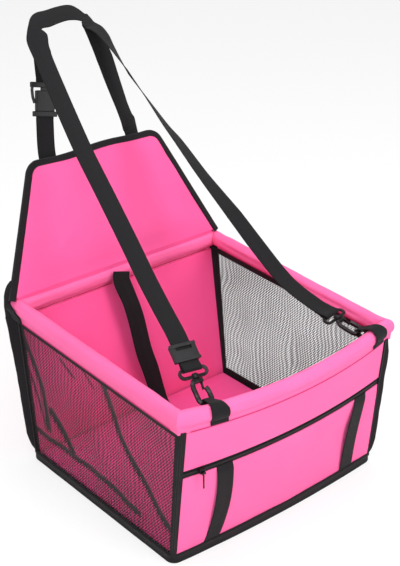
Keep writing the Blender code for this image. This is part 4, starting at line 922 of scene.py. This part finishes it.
# Rim: four sleeves of the pink cloth over plastic tubes, mitred and sewn at the corners, where the cloth stands up in
# a flat fold. The tubes are inside, bowed a little like the sleeves, which have soft creases along them.
SLEEVE_R = {"front": 10.6 * MM, "right": 12.0 * MM, "back": 11.0 * MM, "left": 12.0 * MM}
CORNER_R = 11.5 * MM
# How much lower a sleeve's round hangs in its middle than the seam under it.
LOW = {"front": 2.2 * MM, "right": 0.0, "back": 0.0, "left": 0.0}
CREASE_SEED = {"front": 1.3, "right": 4.1, "back": 7.7, "left": 9.2}
# At the corner that follows each side: how flat the cloth is folded, and how far its mitre stands out.
FOLD = {"front": 0.8, "right": 0.3, "back": 0.4, "left": 0.35}
POINT = {"front": 5.5 * MM, "right": 2.0 * MM, "back": 0.0, "left": 1.0 * MM}
TAIL = ((1.4 * MM, -TAIL_DROP), (1.6 * MM, -15.8 * MM))
TUBE_R = 6.9 * MM
ELBOW_R = 6.1 * MM


def sleeve_profile(radius, flat):
    """Across a sleeve, as (outward, up) from its tube: a loose round with a flat tail. flat presses its inner face."""
    made = [(TAIL_SET + x, y) for x, y in TAIL]
    for i in range(23):
        angle = radians(-50 + 280 * i / 22)
        x, y = radius * cos(angle), radius * sin(angle)
        made.append((x * (1 - 0.26 * flat) if x < 0 else x, y))
    return made + [(TAIL_SET - 1.8 * MM, -15.8 * MM), (TAIL_SET - 1.4 * MM, -TAIL_DROP)]


def mitre(side):
    """At the corner after a side: the middle of its arc, the side's outward direction, and the direction halfway."""
    one, first = side_point(RIM, side, RUN_SHARE)
    _, last = side_point(RIM, NEXT[side], -RUN_SHARE)
    return one - first * RIM[2], first, (first + last).normalized()


def slack_at(side, place, low=1.0):
    return (SAG[side] - LOW[side] * low) * max(0.0, 1 - (RUN_SHARE * place) ** 2)


def ridge(k, at, spread):
    return max(0.0, 1 - abs(k - at) / spread)


def sleeve_ring(side, place):
    """place is -1 to 1 along the run, or beyond it towards the mitre, which is at 2."""
    over = max(0.0, abs(place) - 1)
    inside = min(1.0, abs(place))
    start = 0.86 if side == "front" else 0.78
    near_corner = clamp((abs(place) - start) / (1 - start))
    radius = SLEEVE_R[side] + (CORNER_R - SLEEVE_R[side]) * near_corner
    corner = side if place > 0 else BEFORE[side]
    centre, first, halfway = mitre(corner)
    flat = FOLD[corner] * (near_corner * 0.5 + 0.5 * over)
    ring = []
    for k, (x, y) in enumerate(sleeve_profile(radius, (1.0 if side == "back" else 0.25) * (1 - near_corner))):
        px = TAIL_SET + (x - TAIL_SET) * (1 - 0.45 * flat)
        py = y + 2.4 * MM * flat * max(0.0, y / radius)
        base, out = side_point(RIM, side, RUN_SHARE * max(-1.0, min(1.0, place)), -TAIL_SET + px)
        if over:
            stretch = (RIM[2] - TAIL_SET + px) / first.dot(halfway)
            stretch += POINT[corner] * over ** 2 * (0.5 + px / radius / 2)
            base = base.lerp(centre + halfway * stretch, over)
        slack = slack_at(side, inside, clamp((y / MM + 15.8) / 8)) * (1 - over)
        if side == "front" and place > 0:
            slack -= 1.2 * MM * place ** 2 * (1 - over) ** 2
        lengthwise = noise.noise(Vector((place * 1.7, k * 0.5, CREASE_SEED[side])))
        pucker = noise.noise(Vector((place * 8.0 + 7, k * 0.8, CREASE_SEED[side])))
        groove = -ridge(k, 8.5 + 1.2 * sin(place * 3), 1.6) - 0.8 * ridge(k, 17.5 - 1.2 * sin(place * 2.2), 1.4)
        if side == "right":
            groove -= 2.6 * ridge(k, 19.4 + 0.6 * sin(place * 4), 1.8) * (1 - near_corner)
        free = (1.0 if 2 < k < 23 else 0.2) * (1 - over)
        lift = (lengthwise + 0.6 * pucker * (1 + near_corner) + groove * 0.9) * MM * free
        spoke = (up_by(y) + out * x).normalized()
        ring.append(base + up_by(TUBE_Z - dip(base.y) + slack + py) + spoke * lift)
    return ring


def tube_mesh(points, radius):
    rings = []
    for i, point in enumerate(points):
        way = way_at(points, i)
        aside = way.cross(up_by(1)).normalized()
        up = aside.cross(way)
        rings.append([point + (aside * cos(k * pi / 10) + up * sin(k * pi / 10)) * radius for k in range(20)])
    return ring_mesh(rings, 2.2 * MM, [13.5 * MM * i for i in range(len(rings))])


def tube_point(side, place):
    at, _ = side_point(RIM, side, RUN_SHARE * place, -TAIL_SET)
    return at + up_by(TUBE_Z - dip(at.y) + slack_at(side, place))


# Lit and shaded pinks of the sleeves: painted light and shade on their cloth.
rim_pink = pink_finish("rim_cloth", (0.93, 0.158, 0.385), (0.89, 0.115, 0.32), crease=30.0)
tube_white = Finish("tube_plastic", Roughness=0.4)
streak = tube_white.mottle(tube_white.solid(), 60.0, 4.0)
tube_white.coat(streak, (0.74, 0.74, 0.72), (0.84, 0.84, 0.82), 0.35 + streak * 0.15)
PLACES = [-2 + i / 4 for i in range(4)] + [-1 + i / 24 for i in range(49)] + [1 + i / 4 for i in range(1, 5)]
for side in SIDES:
    rings = [sleeve_ring(side, place) for place in PLACES]
    mesh = ring_mesh(rings, lengths(rings[20] + rings[20][:1]), angle=75)
    add_piece("sleeve_" + side, mesh, rim_pink, "rim", "rim_sleeve_" + side)
    middle = [tube_point(side, 0.93 * (2 * i / 28 - 1)) for i in range(29)]
    add_piece("tube_" + side, tube_mesh(middle, TUBE_R), tube_white, "rim", "rim_tube_" + side)
for side, corner in CORNERS.items():
    centre, first, halfway = mitre(side)
    last = halfway * 2 * first.dot(halfway) - first
    bend = [tube_point(side, 0.9 + 0.025 * i) for i in range(4)]
    for i in range(13):
        share = i / 12
        at = centre + first.lerp(last, share).normalized() * (RIM[2] - TAIL_SET + 3.2 * MM * sin(pi * share))
        slack = slack_at(side, 1) * max(0.0, 1 - 2 * share) + slack_at(NEXT[side], 1) * max(0.0, 2 * share - 1)
        bend.append(at + up_by(TUBE_Z - dip(at.y) + slack))
    bend += [tube_point(NEXT[side], -1 + 0.025 * i) for i in range(1, 5)]
    add_piece("elbow_" + corner, tube_mesh(bend, ELBOW_R), tube_white, "rim", "rim_elbow_" + corner)

# The stitch line that closes each sleeve above its wall, seen outside at the front and left and inside elsewhere. Its
# dark pink is partly the thread and partly a painted shadow of the seam's groove.
stitch_line_and_shadow = Finish("pink_stitch_line_and_shadow", Roughness=0.8, Specular_IOR_Level=0.2)
stitch_line_and_shadow.laid()
dash = stitch_line_and_shadow.along.waves(3.2 * MM) * 0.5 + 0.5
# Dashed stitches in a pink far darker than the cloth: the thread, and a painted shadow along the seam.
stitch_line_and_shadow.coat(dash, (0.42, 0.030, 0.13), (0.60, 0.055, 0.20), 0.7 + dash * 0.2, dash, 0.2 * MM)
for side, reach in (("front", 2.0), ("right", -2.0), ("back", -2.0), ("left", 2.0)):
    rows = []
    for i in range(61):
        place = max(-1, min(1, 1.02 * (2 * i / 60 - 1)))
        at, out = side_point(RIM, side, RUN_SHARE * place, reach * MM)
        at += up_by(SEAM_Z - dip(at.y) + slack_at(side, place, 0.0))
        rows.append((at + up_by(0.6 * MM), at + up_by(2.0 * MM)))
    add_piece("sleeve_seam_" + side, strap_mesh(rows, 0.7 * MM), stitch_line_and_shadow, "rim")


# Corner cap: a folded end of black tape sewn round the outside of the back left corner, where the backrest's binding
# runs on into the corner's.
# Its height, and how far its seat and its tip stand out there from the middle of the corner's arc.
CAP = ((229, 22.0, 41.0), (236, 30.0, 41.3), (244, 32.0, 41.6), (250, 37.0, 42.0), (254, 38.5, 42.3), (260, 37.0, 42.0),
       (266, 32.0, 41.5), (272, 26.5, 41.0), (280, 25.0, 39.0), (288, 25.5, 36.0), (296, 25.5, 30.5))


def wing(full, height, start, fall):
    """The tape's reach along a wall: full up to a height, and drawn in above it."""
    return full if height < start else max(2.0, full - (height - start) * fall)


centre, first, halfway = mitre("back")
aside = Vector((-halfway.y, halfway.x, 0))
rings = []
for height, seat, tip in smooth_path([Vector(row) for row in CAP], 3):
    seat, tip = (centre + halfway * reach * MM + up_by(height * MM) for reach in (seat, tip))
    tip += aside * wobble(tip, 60, 1.0 * MM, 2.0)
    back_wing = seat + Vector((wing(8.5, height, 250, 0.9), 0, 0)) * MM
    left_wing = seat - Vector((0, wing(22.0, height, 255, 2.6), 1.5)) * MM
    rings.append([back_wing + Vector((0, 1.4 * MM, 0)), *lip(seat, tip, halfway, aside, 2.0, 1.6),
                  left_wing - Vector((1.4 * MM, 0, 0)), left_wing + Vector((1.2 * MM, 0, 0)),
                  seat - halfway * 2.2 * MM, back_wing - Vector((0, 1.2 * MM, 0))])
cap = add_piece("corner_tape_end", ring_mesh(rings, 2.4 * MM, 3, angle=40), tape, None, "corner_cap")
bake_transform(cap)


# Hook tabs: short loops of webbing round the front sleeve, drawn in to a narrow loop that each snap hook clips to.
# They are drawn as a path in the plane of the hook, from the outer tail over the sleeve and the hook's wire.
TAB_WEB = 27.0 * MM
TAB_NECK = 9.6 * MM
TAB_FOOT = 12.0 * MM
TAB_SEAT = 0.8 * MM + WEB_T / 2
WIRE_GRIP = 4.45 * MM


def tab_station(place):
    """The sleeve's middle at one x of the front, with its outward direction and tangent."""
    run_end, _ = side_point(RIM, "front", RUN_SHARE, -TAIL_SET)
    at, out = side_point(RIM, "front", RUN_SHARE * min(place, run_end.x) / run_end.x, -TAIL_SET)
    tangent = Vector((-out.y, out.x, 0))
    at += tangent * max(0.0, place - run_end.x) / tangent.x
    slack = slack_at("front", min(1.0, abs(at.x) / (RIM[0] - RIM[2])))
    return Vector((at.x, at.y, TUBE_Z - dip(at.y) + slack)), out, tangent


def arc(middle, radius, start, stop, count):
    """Points as (inward, up) on an arc."""
    angles = [start + (stop - start) * i / (count - 1) for i in range(count)]
    return [(middle[0] + radius * cos(angle), middle[1] + radius * sin(angle)) for angle in angles]


for name, x, hook in (("left", -135 * MM, left_hook), ("right", 166 * MM, right_hook)):
    centre, out, tangent = tab_station(x)
    wire = hook.translation
    width_way = hook.to_3x3() @ Vector((1, 0, 0))
    over = (CORNER_R if x > 0 else SLEEVE_R["front"]) + TAB_SEAT
    inward, rise = (centre - wire).dot(out), wire.z - centre.z
    aside = (wire - centre).dot(tangent)
    far = sqrt(inward ** 2 + rise ** 2)
    toward = acos(inward / far) * (1 if rise > 0 else -1)
    spread = acos((over - WIRE_GRIP) / far)
    outer_tail, inner_tail = TAIL_SET + 1.3 * MM + TAB_SEAT, TAIL_SET - 1.3 * MM - TAB_SEAT
    hip = acos(outer_tail / over)
    path = [((-outer_tail, -TAIL_DROP + 3.5 * MM), 0.0), ((-outer_tail, -over * sin(hip) - MM), 0.0)]
    path += [(spot, 0.5 * max(0.0, i - 10) / 10)
             for i, spot in enumerate(arc((0, 0), over, pi + hip, toward + spread, 21))]
    path += [(spot, 1.0) for spot in arc((inward, rise), WIRE_GRIP, toward + spread, toward - spread, 13)]
    path += [(spot, 2.0)
             for spot in arc((0, 0), over + 0.15 * MM, toward - spread, acos(inner_tail / over) - pi, 6)]
    rows = []
    for (reach, height), share in path:
        drawn = centre - out * reach + tangent * aside + up_by(height)
        ends = []
        for side in (-0.5, 0.5):
            if share == 2.0:
                ends.append(drawn + tangent * side * TAB_FOOT)
                continue
            own, own_out, _ = tab_station(x + side * TAB_WEB)
            ends.append((own - own_out * reach + up_by(height)).lerp(drawn + width_way * side * TAB_NECK, share))
        rows.append(tuple(ends))
    add_webbing("tab_" + name, rows, "rim", "hook_tab_" + name)


# Snap hooks: black plated castings with a thin sprung gate and a swivel eye. The webbing is sewn round the eye's bar.
# The strap adjuster and the side release buckle are moulded black plastic.
ADJUSTER_AT = Vector((-0.4, -2.0, 74.0))
# Each bar of the adjuster's face: where it starts and ends along the strap, its depth and half its width.
ADJUSTER_BARS = ((8.2, 13.0, 2.6, 20.2), (-13.0, -8.4, 2.6, 20.2), (-8.6, 3.6, 1.9, 16.4))


def add_sewn_end(name, place, scale, loop_end, body):
    wire = 2.5 * MM * scale
    bar = (38.0 * scale + 12.0) * MM
    turn, ply = wire + SEWN_GAP + WEB_T / 2, WEB_T / 2 + SEWN_GAP
    path = [(-ply, loop_end), (-ply, (loop_end + bar) / 2 + 4 * MM), (-ply, bar + 12 * MM), (-1.6 * MM, bar + 8 * MM)]
    path += [(-turn * cos(a), bar - turn * sin(a)) for a in (-pi / 5, 0, pi / 6, pi / 3, pi / 2)]
    path += [(-y, z) for y, z in reversed(path[:-1])]
    rows = [tuple(place @ Vector((side * (WEB / 2 - 0.2 * MM), y, z)) for side in (-1, 1)) for y, z in path]
    add_webbing(name + "_sewn_end", rows, body, name + "_strap_end")
    refinish(black_metal, name + "_hook", name + "_gate", name + "_eye")


add_sewn_end("left", left_hook, 1.0, LEFT_END, "strap_end_left")
add_sewn_end("right", right_hook, 1.0, RIGHT_END, "strap_end_right")
add_sewn_end("tether", tether_hook, 0.72, TETHER_END, "base")
refinish(moulded, "strap_adjuster", "buckle_socket", "buckle_plug")
slide = bmesh.new()
for low, high, depth, half in ADJUSTER_BARS:
    middle = ADJUSTER_AT + Vector((0, -depth / 2, (low + high) / 2))
    for vert in bmesh.ops.create_cube(slide, size=1.0)["verts"]:
        vert.co = left_hook @ ((vert.co * Vector((2 * half, depth, high - low)) + middle) * MM)
bmesh.ops.bevel(slide, geom=slide.edges[:], offset=0.7 * MM, segments=3, profile=0.6, affect="EDGES")
add_piece("adjuster_face", finished(slide, 50), moulded, "strap_adjuster")


# Backrest: a padded trapezoid with pink cloth on both sides and a stiff board inside, edged with black binding and
# sewn to the rim along its foot, so that it folds forward. Its left foot flares out over the rim's corner.
FLAP_LENGTH = 184.0 * MM
FLAP_CORNER = 15.0 * MM
FLAP_STRAIGHT = FLAP_LENGTH - FLAP_CORNER
FLAP_FACE = 3.1 * MM
FLAP_HALF_FOOT = {-1: 0.202, 1: 0.193}
FLAP_HALF_HEAD = {-1: 0.121, 1: 0.112}
# Where the roll and the seam along the foot start in x, and how long they are.
FOOT_ROLL = (-0.196, 0.385)
FOOT_SEAM = (-0.190, 0.372)
BINDING_Z = 3.6
BINDING = ((-7.6, 0.6), (-7.0, 1.3), (-4.0, 1.2), (-0.6, 1.0), (0.9, 0.2), (1.2, -1.2), (1.2, -5.3), (0.7, -6.7),
           (-0.8, -7.5), (-8.6, -7.6), (-9.2, -6.9), (-8.8, -6.5), (-0.2, -6.4), (-0.2, -0.1), (-8.6, 0.0))


def flap_half(y, side):
    line = FLAP_HALF_FOOT[side] + (FLAP_HALF_HEAD[side] - FLAP_HALF_FOOT[side]) * min(1.0, y / FLAP_LENGTH)
    return line - FLAP_CORNER + sqrt(max(0.0, FLAP_CORNER ** 2 - max(0.0, y - FLAP_STRAIGHT) ** 2))


def flap_top(x):
    return 1.6 * MM * sin(x * 42 + 1.0)


def flap_point(u, y, face):
    x = u * flap_half(y, 1 if u > 0 else -1)
    return Vector((x, y + flap_top(x) * max(0.0, y / FLAP_LENGTH) ** 3, face))


def flap_sheet(face, foot, crown, columns=44, rows=36):
    out = flap_frame.to_3x3() @ up_by(1 if crown >= 0 else -1)
    grid = []
    for i in range(rows + 1):
        v = i / rows
        row = []
        for j in range(columns + 1):
            u = sin(pi / 2 * (2 * j / columns - 1))
            point = flap_point(u, foot + (FLAP_LENGTH - foot) * (1 - (1 - v) ** 1.15), face)
            hold = max(0.0, min(1.0, 9 * (1 - abs(u)), 6 * (1 - v), 0.3 + 6 * v))
            swell = (3.0 * MM * (1 - u ** 4) * (1 - (2 * v - 1) ** 4) + wobble(point, 13, 2.4 * MM, 6.0)
                     + wobble(point, 30, 0.8 * MM, 1.0)) * hold
            row.append((flap_frame @ (point + up_by(swell * crown)), out))
        grid.append(row)
    return grid


def flap_edge(side):
    heights = [-3 * MM + (FLAP_STRAIGHT + 3 * MM) * i / 24 for i in range(25)]
    heights += [FLAP_STRAIGHT + FLAP_CORNER * sin(pi / 2 * i / 8) for i in range(1, 9)]
    return [flap_point(side, y, 0) for y in heights]


# Lit and shaded pinks of the backrest: painted light and shade, with a deep shaded pink for its mottled wrinkles.
flap_pink = pink_finish("flap_cloth", (0.95, 0.140, 0.39), (0.88, 0.076, 0.275), crease=14.0)
mesh = cloth_mesh(flap_sheet(FLAP_FACE, -1.5 * MM, 1.0), 1.8 * MM)
pad = add_piece("backrest_front", mesh, flap_pink, "back_flap", "flap_front")
grid = [row[::-1] for row in flap_sheet(-1.4 * MM, 2.0 * MM, -0.25)]
rear = add_piece("backrest_back", cloth_mesh(grid, 1.0 * MM), flap_pink, "back_flap", "flap_back")
rings = []
for i in range(49):
    x = FOOT_ROLL[0] + FOOT_ROLL[1] * i / 48
    grow = (1 + 0.12 * noise.noise(Vector((x * 30, 0, 5)))) * MM
    rings.append([flap_frame @ Vector((x, 3.4 * cos(pi * k / 7) * grow, 2.6 * sin(pi * k / 7) * grow))
                  for k in range(14)])
mesh = ring_mesh(rings, 1.8 * MM, [8 * MM * i for i in range(len(rings))])
add_piece("backrest_foot_roll", mesh, flap_pink, "back_flap")
grid = []
for i in range(5):
    row = []
    for x in [FOOT_SEAM[0] + FOOT_SEAM[1] * j / 40 for j in range(41)]:
        sway = 0.5 * noise.noise(Vector((x * 40, i * 0.3, 3))) - 0.9 * (i / 4) ** 2
        row.append((Vector((x, HINGE.y - (2.6 - sway) * MM, (261.5 + 2.5 * i) * MM)), Vector((0, -1, 0))))
    grid.append(row)
add_piece("backrest_seam_allowance", cloth_mesh(grid, 4.6 * MM), flap_pink, "rim")

left_top, right_top = -flap_half(FLAP_LENGTH, -1), flap_half(FLAP_LENGTH, 1)
route = flap_edge(-1)
for x in [left_top + (right_top - left_top) * i / 16 for i in range(1, 16)]:
    route.append(Vector((x, FLAP_LENGTH + flap_top(x), 0)))
route += reversed(flap_edge(1))
rings = []
for i, point in enumerate(route):
    way = way_at(route, i)
    out = Vector((-way.y, way.x, 0))
    lift = BINDING_Z + 0.35 * noise.noise(Vector((i * 0.9, 0, 2)))
    rings.append([flap_frame @ (point + out * (x + 0.3) * MM + up_by((z + lift) * MM)) for x, z in BINDING])
add_piece("backrest_binding", ring_mesh(rings, 2.2 * MM), tape, "back_flap", "flap_binding")

low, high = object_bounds()
